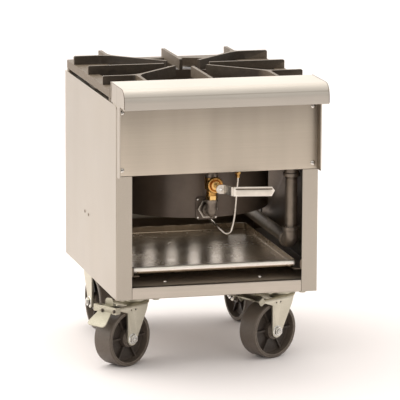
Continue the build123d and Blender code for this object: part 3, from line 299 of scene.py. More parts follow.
def darkSheetPaint(name, settings):
    # heat-proof black coat: faint orange peel, dust on what faces up, heat clouds
    finish = Finish(name, metallic=settings["metallic"], specular=0.45)
    peel = finish.noise(settings["peelScale"], 3.0, 0.5)
    cloud = finish.noise(settings["cloudScale"], 4.0, 0.6)
    base = finish.colours(cloud, [(0.3, settings["dark"]), (0.7, settings["light"])])
    dust = finish.colours(peel, [(0.3, settings["light"]), (0.7, settings["dust"])])
    finish.paint(finish.blend(finish.remap(finish.facing("Z"), 0.0, 0.5, 0.5, 1.0), base, dust))
    finish.polish(finish.remap(cloud, settings["roughness"] - 0.07, settings["roughness"] + 0.1))
    finish.relief(peel, settings["peelDepth"])
    return finish.material


def platedMetal(name, settings):
    # zinc or nickel plate: cloudy tint, light draw marks, brighter where edges are rubbed, and on
    # polished domes a painted reflection of shade: a dark band at given heights
    finish = Finish(name, metallic=1.0)
    cloud = finish.noise(settings["cloudScale"], 4.0, 0.6)
    fine = finish.noise(settings["fineScale"], 4.0, 0.6)
    base = finish.colours(cloud, [(0.3, settings["dark"]), (0.7, settings["light"])])
    bright = finish.colours(fine, [(0.3, settings["light"]), (0.7, settings["rubbed"])])
    colour = finish.blend(finish.edges(), base, bright)
    for middle in settings.get("shadeHeights", ()):
        shade = finish.colours(cloud, [(0.3, settings["shade"]), (0.7, settings["dark"])])
        share = finish.band(finish.coordinate("Z"), middle, settings["shadeReach"])
        colour = finish.blend(share, colour, shade)
    finish.paint(colour)
    finish.polish(finish.remap(fine, settings["roughness"] - 0.07, settings["roughness"] + 0.1))
    finish.relief(fine, settings["fineDepth"])
    return finish.material


def galvanisedSheet(name, settings):
    # zinc spangle: flat crystals of slightly different tone and gloss
    finish = Finish(name, metallic=settings["metallic"])
    spangle = finish.cells(settings["spangleScale"])
    cloud = finish.noise(settings["cloudScale"], 4.0, 0.6)
    base = finish.colours(spangle, [(0.1, settings["dark"]), (0.9, settings["light"])])
    stain = finish.colours(cloud, [(0.35, settings["stain"]), (0.7, settings["light"])])
    finish.paint(finish.blend(finish.remap(cloud, 0.6, 0.0), base, stain))
    tone = finish.remap(spangle, 0.92, 1.08, 0.0, 1.0)
    roughness = finish.remap(cloud, settings["roughness"], settings["roughness"] + 0.12)
    finish.polish(finish.together(roughness, tone))
    finish.relief(cloud, settings["cloudDepth"])
    return finish.material


def mouldedResin(name, settings, centre, axle):
    # hard wheel compound: fine mottle, pale scuffs on edges, painted shade in the recess, and pale
    # rings round the axle that are partly wear and partly painted highlights on the rim and hub steps
    finish = Finish(name, specular=0.4)
    mottle = finish.noise(settings["mottleScale"], 5.0, 0.65)
    scuff = finish.noise(settings["scuffScale"], 4.0, 0.7)
    base = finish.colours(mottle, [(0.3, settings["dark"]), (0.7, settings["light"])])
    worn = finish.colours(scuff, [(0.4, settings["light"]), (0.75, settings["scuffed"])])
    colour = finish.blend(finish.edges(0.52, 0.74), base, worn)
    pale = finish.colours(scuff, [(0.3, settings["light"]), (0.6, settings["scuffed"])])
    distance = finish.fromAxle(centre, axle)
    # painted shade: darker in the wheel's recess round the hub
    shaded = finish.colours(mottle, [(0.3, settings["recess"]), (0.7, settings["dark"])])
    inRecess = finish.remap(finish.band(distance, *settings["recessBand"]), 0.0, 0.9, 0.05, 0.4)
    colour = finish.blend(inRecess, colour, shaded)
    # pale rings at the rim and hub steps: wear, and painted highlights on their edges
    for radius, width in settings["wornRings"]:
        colour = finish.blend(finish.band(distance, radius, width), colour, pale)
    finish.paint(colour)
    finish.polish(finish.remap(scuff, settings["roughness"] - 0.08, settings["roughness"] + 0.12))
    finish.relief(mottle, settings["mottleDepth"])
    return finish.material


steelSettings = {
    "metallic": 1.0,
    "roughness": 0.36,
    "scratchesPerMetre": 1400.0,
    "alongGrain": 6.0,
    "scratchDepth": 0.00003,
    "cloudScale": 5.0,
    "smearScale": (9.0, 9.0, 1.5),
    "smearDepth": 0.03,
    "dark": linearColour(171, 163, 151),
    "light": linearColour(187, 179, 167),
    "cloudDark": linearColour(176, 168, 156),
}
# painted shade: a dark line along the front fold, and darker inner faces
sideSettings = dict(
    steelSettings,
    foldY=-0.2652,
    foldWidth=0.0012,
    insideAxis="X",
    inside=linearColour(84, 68, 52),
    insideLight=linearColour(128, 107, 84),
)
# painted shade inside the wing plates, lighter than inside the side panels
wingSettings = dict(
    sideSettings,
    inside=linearColour(104, 92, 78),
    insideLight=linearColour(138, 125, 108),
)
# painted shade on the rear sheets' inner faces
rearSettings = dict(
    steelSettings,
    insideAxis="Y",
    inside=linearColour(112, 98, 82),
    insideLight=linearColour(146, 130, 111),
)
# the same steel, lighter: painted light on the front rail
railSettings = dict(
    steelSettings,
    dark=linearColour(184, 176, 164),
    light=linearColour(202, 193, 181),
    cloudDark=linearColour(190, 181, 169),
)
# the same steel, darker, with painted shade under the ledge and a painted floor reflection that lightens
# the fascia towards the bottom
panelSettings = dict(
    steelSettings,
    smearScale=(16.0, 16.0, 2.2),
    smearDepth=0.07,
    fades=((1.42, 0.99, 0.434, 0.598), (1.0, 0.88, 0.522, 0.566)),
    dark=linearColour(159, 151, 138),
    light=linearColour(169, 160, 147),
    cloudDark=linearColour(162, 153, 140),
)
# the same steel, lighter: painted light; painted reflection darker below the bullnose's lower tangent and
# lighter above it, with a painted shade line at the tangent
ledgeSettings = dict(
    steelSettings,
    roughness=0.5,
    smearScale=(7.0, 7.0, 1.0),
    fades=((0.95, 1.05, 0.617, 0.624),),
    creaseZ=0.6195,
    creaseWidth=0.0018,
    crease=linearColour(146, 136, 123),
    dark=linearColour(188, 182, 173),
    light=linearColour(202, 196, 187),
)
castSettings = {
    "metallic": 0.0,
    "specular": 0.4,
    "roughness": 0.52,
    "grainScale": 900.0,
    "grainDepth": 0.0004,
    "swellScale": 60.0,
    "swellDepth": 0.0008,
    "topWear": 0.8,
    "leftWear": 0.85,
    "rearWear": 0.8,
    "rearStart": (0.165, 0.175),
    "edgeLow": 0.53,
    "edgeHigh": 0.75,
    "dark": linearColour(46, 38, 29),
    "light": linearColour(60, 50, 39),
    "rubbed": linearColour(146, 130, 110),
}
burnerSettings = dict(
    castSettings,
    roughness=0.7,
    topWear=0.3,
    leftWear=0.1,
    rubbed=linearColour(104, 92, 80),
)
darkSettings = {
    "metallic": 0.35,
    "roughness": 0.36,
    "peelScale": 700.0,
    "peelDepth": 0.0001,
    "cloudScale": 9.0,
    "dark": linearColour(80, 69, 59),
    "light": linearColour(107, 94, 82),
    "dust": linearColour(128, 115, 101),
}
# the black paint, lighter: painted light on the cabinet floor, which lies in shade
floorSheetSettings = dict(
    darkSettings,
    metallic=0.0,
    roughness=0.45,
    dark=linearColour(150, 136, 120),
    light=linearColour(172, 157, 140),
    dust=linearColour(190, 176, 158),
)
zincSettings = {
    "roughness": 0.4,
    "cloudScale": 40.0,
    "fineScale": 500.0,
    "fineDepth": 0.0001,
    "dark": linearColour(181, 176, 159),
    "light": linearColour(201, 196, 179),
    "rubbed": linearColour(220, 215, 200),
}
pedalSettings = dict(
    zincSettings,
    roughness=0.46,
    dark=linearColour(142, 137, 121),
    light=linearColour(160, 155, 138),
    rubbed=linearColour(204, 199, 182),
)
boltSettings = dict(pedalSettings, dark=linearColour(96, 90, 78))
platedSettings = dict(
    zincSettings,
    roughness=0.2,
    dark=linearColour(188, 186, 180),
    light=linearColour(214, 212, 206),
    rubbed=linearColour(238, 237, 233),
)
leverSettings = dict(
    zincSettings,
    roughness=0.32,
    dark=linearColour(158, 150, 138),
    light=linearColour(190, 182, 170),
    rubbed=linearColour(236, 230, 220),
)
gripSettings = dict(
    leverSettings,
    roughness=0.34,
    dark=linearColour(208, 201, 190),
    light=linearColour(224, 217, 206),
)
tubeSettings = dict(
    zincSettings,
    roughness=0.24,
    dark=linearColour(186, 178, 166),
    light=linearColour(216, 209, 198),
    rubbed=linearColour(235, 230, 222),
)
brassSettings = {
    "roughness": 0.26,
    "cloudScale": 90.0,
    "fineScale": 900.0,
    "fineDepth": 0.00012,
    "dark": linearColour(180, 130, 68),
    "light": linearColour(216, 168, 98),
    "rubbed": linearColour(240, 206, 140),
}
ironPipeSettings = {
    "roughness": 0.34,
    "cloudScale": 120.0,
    "fineScale": 1200.0,
    "fineDepth": 0.0003,
    "dark": linearColour(84, 75, 66),
    "light": linearColour(122, 111, 99),
    "rubbed": linearColour(190, 180, 167),
}
elbowSettings = dict(
    castSettings,
    metallic=0.75,
    roughness=0.4,
    grainScale=1100.0,
    grainDepth=0.0003,
    topWear=0.2,
    leftWear=0.1,
    dark=linearColour(104, 94, 84),
    light=linearColour(138, 127, 115),
    rubbed=linearColour(196, 186, 172),
)
riserSettings = dict(
    elbowSettings,
    dark=linearColour(86, 75, 65),
    light=linearColour(118, 106, 94),
    rubbed=linearColour(176, 165, 150),
)
nutSettings = dict(
    ironPipeSettings,
    roughness=0.22,
    dark=linearColour(66, 58, 51),
    light=linearColour(92, 83, 74),
    rubbed=linearColour(226, 219, 206),
)
screwSteelSettings = dict(
    platedSettings,
    roughness=0.1,
    dark=linearColour(232, 228, 220),
    light=linearColour(244, 241, 234),
    rubbed=linearColour(246, 242, 234),
)
# a lighter, smoother copy of the tray's zinc: painted highlight on the rolled lip; also on the feed
# washer and pipe collars
lipSettings = {
    "metallic": 1.0,
    "roughness": 0.42,
    "spangleScale": 160.0,
    "cloudScale": 30.0,
    "cloudDepth": 0.0001,
    "dark": linearColour(244, 238, 228),
    "light": linearColour(250, 245, 236),
    "stain": linearColour(236, 229, 217),
}
traySettings = {
    "metallic": 0.72,
    "roughness": 0.17,
    "spangleScale": 90.0,
    "cloudScale": 12.0,
    "cloudDepth": 0.00001,
    "dark": linearColour(162, 145, 123),
    "light": linearColour(178, 160, 137),
    "stain": linearColour(148, 132, 112),
}
runnerSettings = dict(
    traySettings,
    roughness=0.34,
    dark=linearColour(96, 85, 73),
    light=linearColour(120, 107, 93),
    stain=linearColour(82, 71, 60),
)
resinSettings = {
    "roughness": 0.42,
    "mottleScale": 500.0,
    "mottleDepth": 0.0002,
    "recess": linearColour(40, 33, 27),
    "recessBand": (0.034, 0.02),  # radius and half width
    "scuffScale": 120.0,
    "wornRings": (  # radius and width
        (0.0556, 0.0011),
        (0.0602, 0.0008),
        (0.0192, 0.0006),
        (0.0166, 0.0006),
        (0.0136, 0.0006),
    ),
    "dark": linearColour(77, 68, 60),
    "light": linearColour(100, 90, 80),
    "scuffed": linearColour(146, 135, 121),
}
sheetAcross = brushedStainless("stainlessAcross", "X", steelSettings)
sheetDeep = brushedStainless("stainlessDeep", "Y", sideSettings)
wheelJoint = {joint["child"]: joint for joint in frame["joints"] if joint["name"].endswith("_roll")}
wheelNames = [body.replace("_roller", "") for body in wheelJoint]
finishes = {
    "stainless_sheet": sheetAcross,
    "dark_sheet": darkSheetPaint("blackHeatPaint", darkSettings),
    "galvanised_sheet": galvanisedSheet("galvanisedTray", traySettings),
    "cast_iron": castIronSurface("castIron", castSettings),
    "black_pipe": platedMetal("ironPipe", ironPipeSettings),
    "brass": platedMetal("castBrass", brassSettings),
    "plated_steel": platedMetal("platedSteel", platedSettings),
    "lever_steel": platedMetal("leverNickel", leverSettings),
    "aluminium_tube": platedMetal("drawnTube", tubeSettings),
    "zinc_steel": platedMetal("zincSteel", zincSettings),
}
for wheelName in wheelNames:
    joint = wheelJoint[wheelName + "_roller"]
    label = wheelName + "_resin"
    finishes[label] = mouldedResin(label, resinSettings, joint["pos_m"], joint["axis"])
ownFinish = {
    "bottom_front_rail": brushedStainless("stainlessRail", "X", railSettings),
    "rear_panel": brushedStainless("stainlessRear", "X", rearSettings),
    "rear_rail": brushedStainless("stainlessRearRail", "X", rearSettings),
    "supply_riser": castIronSurface("riserIron", riserSettings),
    "supply_pipe": castIronSurface("supplyIron", riserSettings),
    "feed_locknut": platedMetal("locknutSteel", nutSettings),
    "lever_grip": platedMetal("gripNickel", gripSettings),
    "valve_elbow": castIronSurface("elbowIron", elbowSettings),
    "front_panel": brushedStainless("stainlessFascia", "X", panelSettings),
    "landing_ledge": brushedStainless("stainlessLedge", "X", ledgeSettings),
    "caster_plate_bolts": platedMetal("boltZinc", boltSettings),
    "cabinet_floor": darkSheetPaint("floorSheet", floorSheetSettings),
    "burner_body": castIronSurface("burnerIron", burnerSettings),
}
sheetWing = brushedStainless("stainlessWing", "Y", wingSettings)
runnerZinc = galvanisedSheet("runnerZinc", runnerSettings)
for side in ("left", "right"):
    ownFinish[side + "_side_panel"] = sheetDeep
    ownFinish[side + "_wing_plate"] = sheetWing
    ownFinish[side + "_tray_runner"] = runnerZinc
for nodeName in ("supply_elbow", "manifold_elbow", "manifold_tee"):
    ownFinish[nodeName] = ownFinish["valve_elbow"]
pedalZinc = platedMetal("pedalZinc", pedalSettings)
for nodeName in ("front_left_brake_pedal", "front_right_brake_pedal"):
    ownFinish[nodeName] = pedalZinc
for wheelName in wheelNames:
    ownFinish[wheelName + "_wheel"] = finishes[wheelName + "_resin"]
screwSteel = platedMetal("screwSteel", screwSteelSettings)
low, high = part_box("front_panel_screws")
# painted reflection of shade: a dark band across the panel screws' domes, at one height for each row
domeSettings = dict(
    screwSteelSettings,
    shade=linearColour(24, 20, 16),
    shadeHeights=(low.z + 0.006, high.z - 0.0046),
    shadeReach=0.0034,
)
panelScrewSteel = platedMetal("panelScrewSteel", domeSettings)
lipZinc = galvanisedSheet("lipZinc", lipSettings)


def finishFor(nodeName):
    return ownFinish.get(nodeName) or finishes[slotOf[nodeName]]


for nodeName, node in frame["nodes"].items():
    node.data.materials.clear()
    node.data.materials.append(finishFor(nodeName))
print("finishes made:", len(bpy.data.materials))


def gridMesh(name, points, closedAcross=False):
    # points is an array (rows, columns, 3); each cell of the grid becomes one four-sided face
    rows, columns = points.shape[:2]
    index = np.arange(rows * columns).reshape(rows, columns)
    if closedAcross:
        index = np.hstack([index, index[:, :1]])
    corners = (index[:-1, :-1], index[:-1, 1:], index[1:, 1:], index[1:, :-1])
    faces = np.stack([c.ravel() for c in corners], axis=1)
    mesh = bpy.data.meshes.new(name)
    mesh.from_pydata(points.reshape(-1, 3).tolist(), [], faces.tolist())
    return mesh


def cleaned(mesh, mergeBelow=0.00001, smoothAngle=35):
    # doubles at seams and poles merged, faces turned outward, edges past an angle kept sharp
    work = bmesh.new()
    work.from_mesh(mesh)
    bmesh.ops.remove_doubles(work, verts=work.verts, dist=mergeBelow)
    bmesh.ops.dissolve_degenerate(work, edges=work.edges, dist=mergeBelow / 2)
    bmesh.ops.recalc_face_normals(work, faces=work.faces)
    work.to_mesh(mesh)
    work.free()
    mesh.shade_smooth()
    mesh.set_sharp_from_angle(angle=math.radians(smoothAngle))
    return mesh


def addPiece(name, mesh, body, slotName, finish=None):
    # a new object at the origin that rides on a body
    piece = bpy.data.objects.new(name, mesh)
    bpy.context.scene.collection.objects.link(piece)
    mesh.materials.append(finish or finishes[slotName])
    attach(piece, body)
    return piece


def placed(points, origin, outward, spinDegrees=0.0):
    # local points with z along outward, moved to origin
    outward = Vector(outward).normalized()
    spin = Matrix.Rotation(math.radians(spinDegrees), 3, "Z")
    turn = outward.to_track_quat("Z", "Y").to_matrix() @ spin
    return points @ np.array(turn).T + np.array(origin)


def softened(nodeName, width, segments=2, angle=35):
    # a merged copy of the node with narrow rounded edges, which stands for it
    source = frame["nodes"][nodeName]
    mesh = source.data.copy()
    work = bmesh.new()
    work.from_mesh(mesh)
    bmesh.ops.remove_doubles(work, verts=work.verts, dist=0.00001)
    bmesh.ops.dissolve_limit(work, angle_limit=math.radians(0.3), verts=work.verts, edges=work.edges)
    work.to_mesh(mesh)
    work.free()
    mesh.shade_smooth()
    mesh.set_sharp_from_angle(angle=math.radians(angle))
    piece = bpy.data.objects.new(nodeName + "_finished", mesh)
    bpy.context.scene.collection.objects.link(piece)
    rounding = piece.modifiers.new("roundedEdges", "BEVEL")
    rounding.width = width
    rounding.segments = segments
    rounding.limit_method = "ANGLE"
    rounding.angle_limit = math.radians(angle)
    rounding.harden_normals = True
    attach(piece, source["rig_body"])
    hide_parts(nodeName)


edgeWidths = {
    "top_grate": 0.0012,
    "burner_body": 0.0012,
    "feed_flange": 0.0005,
    "feed_locknut": 0.0008,
    "valve_body": 0.0006,
    "valve_bonnet": 0.0006,
    "valve_stem": 0.0003,
    "valve_elbow": 0.001,
    "manifold_tee": 0.001,
    "valve_lever": 0.0006,
    "lever_grip": 0.0005,
    "pilot_valve": 0.0003,
    "caster_plate_bolts": 0.0005,
    "supply_pipe_clamp": 0.0004,
    "cabinet_floor": 0.0002,
    "rear_panel": 0.0002,
    "rear_rail": 0.0002,
    "manifold_elbow": 0.001,
    "supply_elbow": 0.001,
    "landing_ledge": 0.0002,
    "front_panel": 0.0002,
    "left_side_panel": 0.0002,
    "right_side_panel": 0.0002,
    "bottom_front_rail": 0.0002,
    "left_wing_plate": 0.0002,
    "right_wing_plate": 0.0002,
}
for corner in ("front_left", "front_right", "rear_left", "rear_right"):
    edgeWidths[corner + "_fork"] = 0.0007
    edgeWidths[corner + "_wheel"] = 0.0009
    edgeWidths[corner + "_axle"] = 0.0006
    edgeWidths[corner + "_caster_plate"] = 0.0005
    if corner.startswith("front"):
        edgeWidths[corner + "_brake_pedal"] = 0.0007
for nodeName, width in edgeWidths.items():
    softened(nodeName, width)
print("edges rounded on", len(edgeWidths), "nodes")


screwSettings = {
    "headRadius": 0.0058,
    "headHeight": 0.0034,
    "recessDepth": 0.0019,
    "recessReach": 0.58,  # share of the head's radius, as are the next three
    "recessHalfWidth": 0.15,
    "recessSlope": 0.05,
    "recessEnd": 0.12,
    "sunk": 0.0002,
    "rings": 22,
    "turns": 64,
}


def screwHead(name, origin, outward, body, slotName, spin=0.0, size=1.0, finish=None, **changes):
    # dome: height times (1 - r^2) ^ 0.7; a cross is pressed in where x or y is small
    s = dict(screwSettings, **changes)
    share = np.linspace(0, 1, s["rings"])[:, None]
    around = np.linspace(0, 2 * np.pi, s["turns"], endpoint=False)[None, :]
    x, y = share * np.cos(around), share * np.sin(around)
    dome = s["headHeight"] * (1 - share**2 * np.ones_like(around)) ** 0.7
    arm = np.minimum(np.abs(x), np.abs(y))
    inside = np.clip((s["recessHalfWidth"] - arm) / s["recessSlope"], 0, 1)
    inside = inside * np.clip((s["recessReach"] - share) / s["recessEnd"], 0, 1)
    height = dome - s["recessDepth"] * inside
    radius = s["headRadius"] * size
    local = np.stack([x * radius, y * radius, height * size], axis=-1)
    points = closedBelow(local, s["sunk"])
    mesh = gridMesh(name, placed(points, origin, outward, spin), closedAcross=True)
    return addPiece(name, cleaned(mesh), body, slotName, finish or screwSteel)


def closedBelow(local, sunk):
    # the last ring is repeated below the surface and then drawn to a point
    skirt = local[-1:].copy()
    skirt[..., 2] = -sunk
    return np.concatenate([local, skirt, skirt * [0, 0, 1]], axis=0)


def cornerPlaces(nodeName, inset, y):
    # four places inside a node's front face, named low or high and left or right
    low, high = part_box(nodeName)
    for side, x in (("left", low.x + inset), ("right", high.x - inset)):
        for level, z in (("low", low.z + inset), ("high", high.z - inset)):
            yield f"{level}_{side}", (x, y, z)


panelScrews = {
    "inset": 0.0052,
    "turns": (20, 31),  # degrees of the first, and from one to the next
    "shape": {"recessDepth": 0.0005, "headHeight": 0.003},
}
s = panelScrews
places = cornerPlaces("front_panel_screws", s["inset"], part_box("front_panel")[0].y)
for number, (label, place) in enumerate(places):
    spin = s["turns"][0] + s["turns"][1] * number
    name = label + "_panel_screw"
    head = screwHead(
        name, place, (0, -1, 0), "cabinet", "plated_steel", spin, 1.0, panelScrewSteel, **s["shape"]
    )
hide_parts("front_panel_screws")

floorScrews = {
    "x": {"left": -0.1167, "right": 0.099},
    "y": -0.2575,
    "turn": 35,
    "size": 0.75,
    "shape": {"headHeight": 0.0035},
}
s = floorScrews
for side, x in s["x"].items():
    place, name = (x, s["y"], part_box("cabinet_floor")[1].z), side + "_floor_screw"
    screwHead(name, place, (0, 0, 1), "cabinet", "plated_steel", s["turn"], s["size"], **s["shape"])

flangeScrews = {
    "inset": 0.0045,
    "turns": (90, 15),
    "size": 0.5,
}
s = flangeScrews
places = cornerPlaces("feed_flange", s["inset"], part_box("feed_flange")[0].y)
for number, (label, place) in enumerate(places):
    spin = s["turns"][0] + s["turns"][1] * number
    name = label + "_flange_screw"
    screwHead(name, place, (0, -1, 0), "cabinet", "plated_steel", spin, s["size"])
print("screws set")


# two pressed marks on the left side panel
pressedMarks = {
    "radius": 0.0042,
    "pit": 0.45,  # share of the radius
    "base": 0.0004,
    "lift": 0.0006,
    "depth": 0.8,  # share of the lift
    "sunk": 0.0003,
    "places": ((0.0528, 0.297), (0.0156, 0.2961)),
}


def hollowMark(name, origin, outward, body, slotName, s):
    # a ring raised by sin(pi t) from the pit's edge to the rim, round a pit that is deepest in the middle
    share = np.linspace(0, 1, 12)[:, None]
    around = np.linspace(0, 2 * np.pi, 32, endpoint=False)[None, :]
    ring = np.sin(np.pi * (share - s["pit"]) / (1 - s["pit"]))
    pit = -s["depth"] * (1 - (share / s["pit"]) ** 2)
    lift = np.where(share > s["pit"], ring, pit)
    x, y = s["radius"] * share * np.cos(around), s["radius"] * share * np.sin(around)
    height = s["base"] + s["lift"] * lift * np.ones_like(around)
    points = closedBelow(np.stack([x, y, height], axis=-1), s["sunk"])
    mesh = gridMesh(name, placed(points, origin, outward), closedAcross=True)
    return addPiece(name, cleaned(mesh), body, slotName, finishes["black_pipe"])


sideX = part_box("left_side_panel")[0].x
for number, (y, z) in enumerate(pressedMarks["places"], start=1):
    name = f"side_panel_fixing_{number}"
    hollowMark(name, (sideX, y, z), (-1, 0, 0), "cabinet", "stainless_sheet", pressedMarks)


# threads at both ends of the upright gas pipe
riserThread = {
    "length": 0.009,
    "pitch": 0.0018,
    "depth": 0.0004,
    "ringsPerTurn": 8,
    "fade": 0.12,  # share of the length at each end
    "mouth": 0.9,  # share of the radius where the ends close on the pipe
    "lowSink": 0.002,  # how far it starts inside the lower elbow
    "highReach": 0.007,  # how far it starts below the upper one
}


def threadSleeve(name, origin, direction, body, slotName, radius, s):
    # screw thread: radius plus depth times a wave of (z / pitch - angle / 2 pi), faded at both ends
    length, pitch = s["length"], s["pitch"]
    turns = np.linspace(0, 2 * np.pi, 40, endpoint=False)[None, :]
    z = np.linspace(0, 1, int(length / pitch * s["ringsPerTurn"]) + 2)[:, None]
    wave = 0.5 + 0.5 * np.cos(2 * np.pi * (z * length / pitch) - turns)
    fade = np.clip(np.minimum(z, 1 - z) / s["fade"], 0, 1)
    r = radius + s["depth"] * wave * fade
    local = np.stack([r * np.cos(turns), r * np.sin(turns), z * length + 0 * turns], axis=-1)
    narrowed = [s["mouth"], s["mouth"], 1]
    first, last = local[:1] * narrowed, local[-1:] * narrowed
    points = np.concatenate([first, local, last, first], axis=0)
    mesh = gridMesh(name, placed(points, origin, direction), closedAcross=True)
    return addPiece(name, cleaned(mesh, smoothAngle=60), body, slotName)


low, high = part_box("supply_riser")
riserX, riserY = (low.x + high.x) / 2, (low.y + high.y) / 2
riserRadius = (high.x - low.x) / 2
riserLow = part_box("supply_elbow")[1].z
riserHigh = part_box("manifold_elbow")[0].z
s = riserThread
for label, z in (("low", riserLow - s["lowSink"]), ("high", riserHigh - s["highReach"])):
    place, name = (riserX, riserY, z), f"riser_{label}_thread"
    threadSleeve(name, place, (0, 0, 1), "cabinet", "black_pipe", riserRadius, s)
print("pressed marks and threads added")


def roundedBar(name, start, end, outward, size, body, slotName, finish=None, power=2.6, rings=26):
    # superellipse section |u / a|^p + |v / b|^p = 1, drawn in at both ends as (1 - e^2) ^ (1 / 2);
    # size is the width across and the height along outward
    start, end = np.array(start, float), np.array(end, float)
    width, height = size
    length = np.linalg.norm(end - start)
    direction = (end - start) / length
    out = np.array(outward, float)
    out -= direction * out.dot(direction)
    out /= np.linalg.norm(out)
    side = np.cross(direction, out)
    angle = np.linspace(0, 2 * np.pi, 40, endpoint=False)[None, :]
    u = np.sign(np.cos(angle)) * np.abs(np.cos(angle)) ** (2 / power)
    v = np.sign(np.sin(angle)) * np.abs(np.sin(angle)) ** (2 / power)
    reach = min(width, length) / 2
    cap = 1 - np.cos(np.linspace(0, np.pi / 2, 9))
    straight = np.linspace(reach, length - reach, rings)[1:-1]
    along = np.concatenate([cap * reach, straight, length - reach * cap[::-1]])
    edge = np.clip(np.minimum(along, length - along) / reach, 0, 1)
    swell = ((1 - (1 - edge) ** 2) ** 0.5)[:, None, None]
    section = (u * width / 2)[..., None] * side + (v * height / 2)[..., None] * out
    points = start + along[:, None, None] * direction + swell * section
    mesh = gridMesh(name, points, closedAcross=True)
    return addPiece(name, cleaned(mesh, smoothAngle=60), body, slotName, finish)


# the tray's front lip: a fat bar round the rolled edge, bright with a painted highlight colour
trayLip = {
    "radius": 0.0063,
    "raised": 0.001,
    "proud": 0.0006,
    "leftBeyond": 0.004,  # past the tray's left edge
    "rightShort": 0.0015,
}
s = trayLip
low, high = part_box("drip_tray")
y, z = low.y + s["radius"], high.z - s["radius"] + s["raised"]
start, end = (-high.x - s["leftBeyond"], y, z), (high.x - s["rightShort"], y, z)
size = (2 * s["radius"] + s["proud"],) * 2
roundedBar(
    "tray_front_lip", start, end, (0, 0, 1), size, "tray", "galvanised_sheet", lipZinc, power=2.0
)

# the grip's pressed groove between two raised strips, and a dark strip of painted shade in the groove, in
# millimetres
gripStrips = {
    "startX": 22.4,
    "startY": -325.8,
    "slopeDegrees": 10.0,
    "from": 2.0,
    "to": 83.0,
    "strips": {  # middle height, width and thickness
        "upper": (410.6, 3.6, 1.6),
        "groove": (407.0, 3.4, 0.5),
        "lower": (399.0, 12.6, 1.6),
    },
}


def gripPoint(s, along, height):
    # a point on the grip's front face, in metres
    slope = math.radians(s["slopeDegrees"])
    x, y = s["startX"] + along * math.cos(slope), s["startY"] - along * math.sin(slope)
    return (x / 1000, y / 1000, height / 1000)


s = gripStrips
slope = math.radians(s["slopeDegrees"])
gripOut = (-math.sin(slope), -math.cos(slope), 0)
for label, (height, width, thickness) in s["strips"].items():
    start, end = gripPoint(s, s["from"], height), gripPoint(s, s["to"], height)
    size = (width / 1000, thickness / 1000)
    # painted shade: the strip in the groove is dark
    finish = finishes["black_pipe"] if label == "groove" else ownFinish["lever_grip"]
    name = f"grip_{label}_strip"
    roundedBar(name, start, end, gripOut, size, "gas_lever", "lever_steel", finish, power=3.0)

# the round belly of the elbow under the valve
elbowBulge = {
    "forward": 0.016,
    "rise": 0.0182,
    "radii": (0.013, 0.013, 0.0178),
    "taper": 0.12,
}


def bulb(name, centre, s, body, slotName, finish=None):
    # ellipsoid from two angles, drawn in towards its lower end by the taper
    down = np.linspace(0, np.pi, 30)[:, None]
    around = np.linspace(0, 2 * np.pi, 48, endpoint=False)[None, :]
    taper = 1 + s["taper"] * np.cos(down)
    x = s["radii"][0] * taper * np.sin(down) * np.cos(around)
    y = s["radii"][1] * taper * np.sin(down) * np.sin(around)
    z = s["radii"][2] * np.cos(down) * np.ones_like(around)
    points = np.stack([x, y, z], axis=-1) + np.array(centre)
    mesh = gridMesh(name, points, closedAcross=True)
    return addPiece(name, cleaned(mesh, smoothAngle=80), body, slotName, finish)


low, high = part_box("valve_elbow")
centre = ((low.x + high.x) / 2, low.y + elbowBulge["forward"], low.z + elbowBulge["rise"])
elbowIron = ownFinish["valve_elbow"]
bulb("valve_elbow_bulge", centre, elbowBulge, "cabinet", "black_pipe", elbowIron)
print("tray lip, grip strips and elbow ready")


def tubeAlong(name, points, radius, body, slotName, finish=None, turns=14):
    # a round wire: at each point of the path a circle in the plane square to the path's direction
    points = np.array(points, float)
    direction = np.gradient(points, axis=0)
    direction /= np.linalg.norm(direction, axis=1)[:, None]
    aside = np.cross(direction, [0.3, 0.2, 0.93])  # a direction that no seam runs along
    aside /= np.linalg.norm(aside, axis=1)[:, None]
    above = np.cross(direction, aside)
    angle = np.linspace(0, 2 * np.pi, turns, endpoint=False)[None, :, None]
    ring = np.cos(angle) * aside[:, None, :] + np.sin(angle) * above[:, None, :]
    wall = points[:, None, :] + radius * ring
    first = np.repeat(points[None, :1], turns, axis=1)
    last = np.repeat(points[None, -1:], turns, axis=1)
    mesh = gridMesh(name, np.concatenate([first, wall, last], axis=0), closedAcross=True)
    return addPiece(name, cleaned(mesh, smoothAngle=80), body, slotName, finish)


# thin dark lines: painted shade along the ledge's end corners, joints at the rail ends, and the strip
# between the two rear sheets
jointsAndCornerShade = {
    "bullnose": 0.028,
    "wire": 0.0007,
    "ledgeBack": 0.002,  # where the shade line starts, from the ledge's back edge
    "ledgeFoot": 0.003,  # where it ends, above the ledge's lower edge
    "railWidth": 0.0013,
    "railForward": 0.0004,
    "railFoot": 0.0008,
    "stripWidth": 0.014,
    "stripThickness": 0.0022,
    "stripBehind": 0.002,
    "stripRise": 0.0045,
    "stripLeft": 0.004,
    "stripRight": 0.006,  # gap to the supply pipe
}
s = jointsAndCornerShade
low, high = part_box("landing_ledge")
nose = s["bullnose"]
turn = np.linspace(0, np.pi / 2, 12)
arcY = low.y + nose - nose * np.sin(turn)
arcZ = high.z - nose + nose * np.cos(turn)
run = np.linspace(high.y - s["ledgeBack"], low.y + nose, 12)
fall = np.linspace(high.z - nose, low.z + s["ledgeFoot"], 9)[1:]
ledgeShadeY = np.concatenate([run, arcY[1:], np.full(len(fall), low.y)])
ledgeShadeZ = np.concatenate([np.full(len(run), high.z), arcZ[1:], fall])
darkIron = ownFinish["supply_riser"]
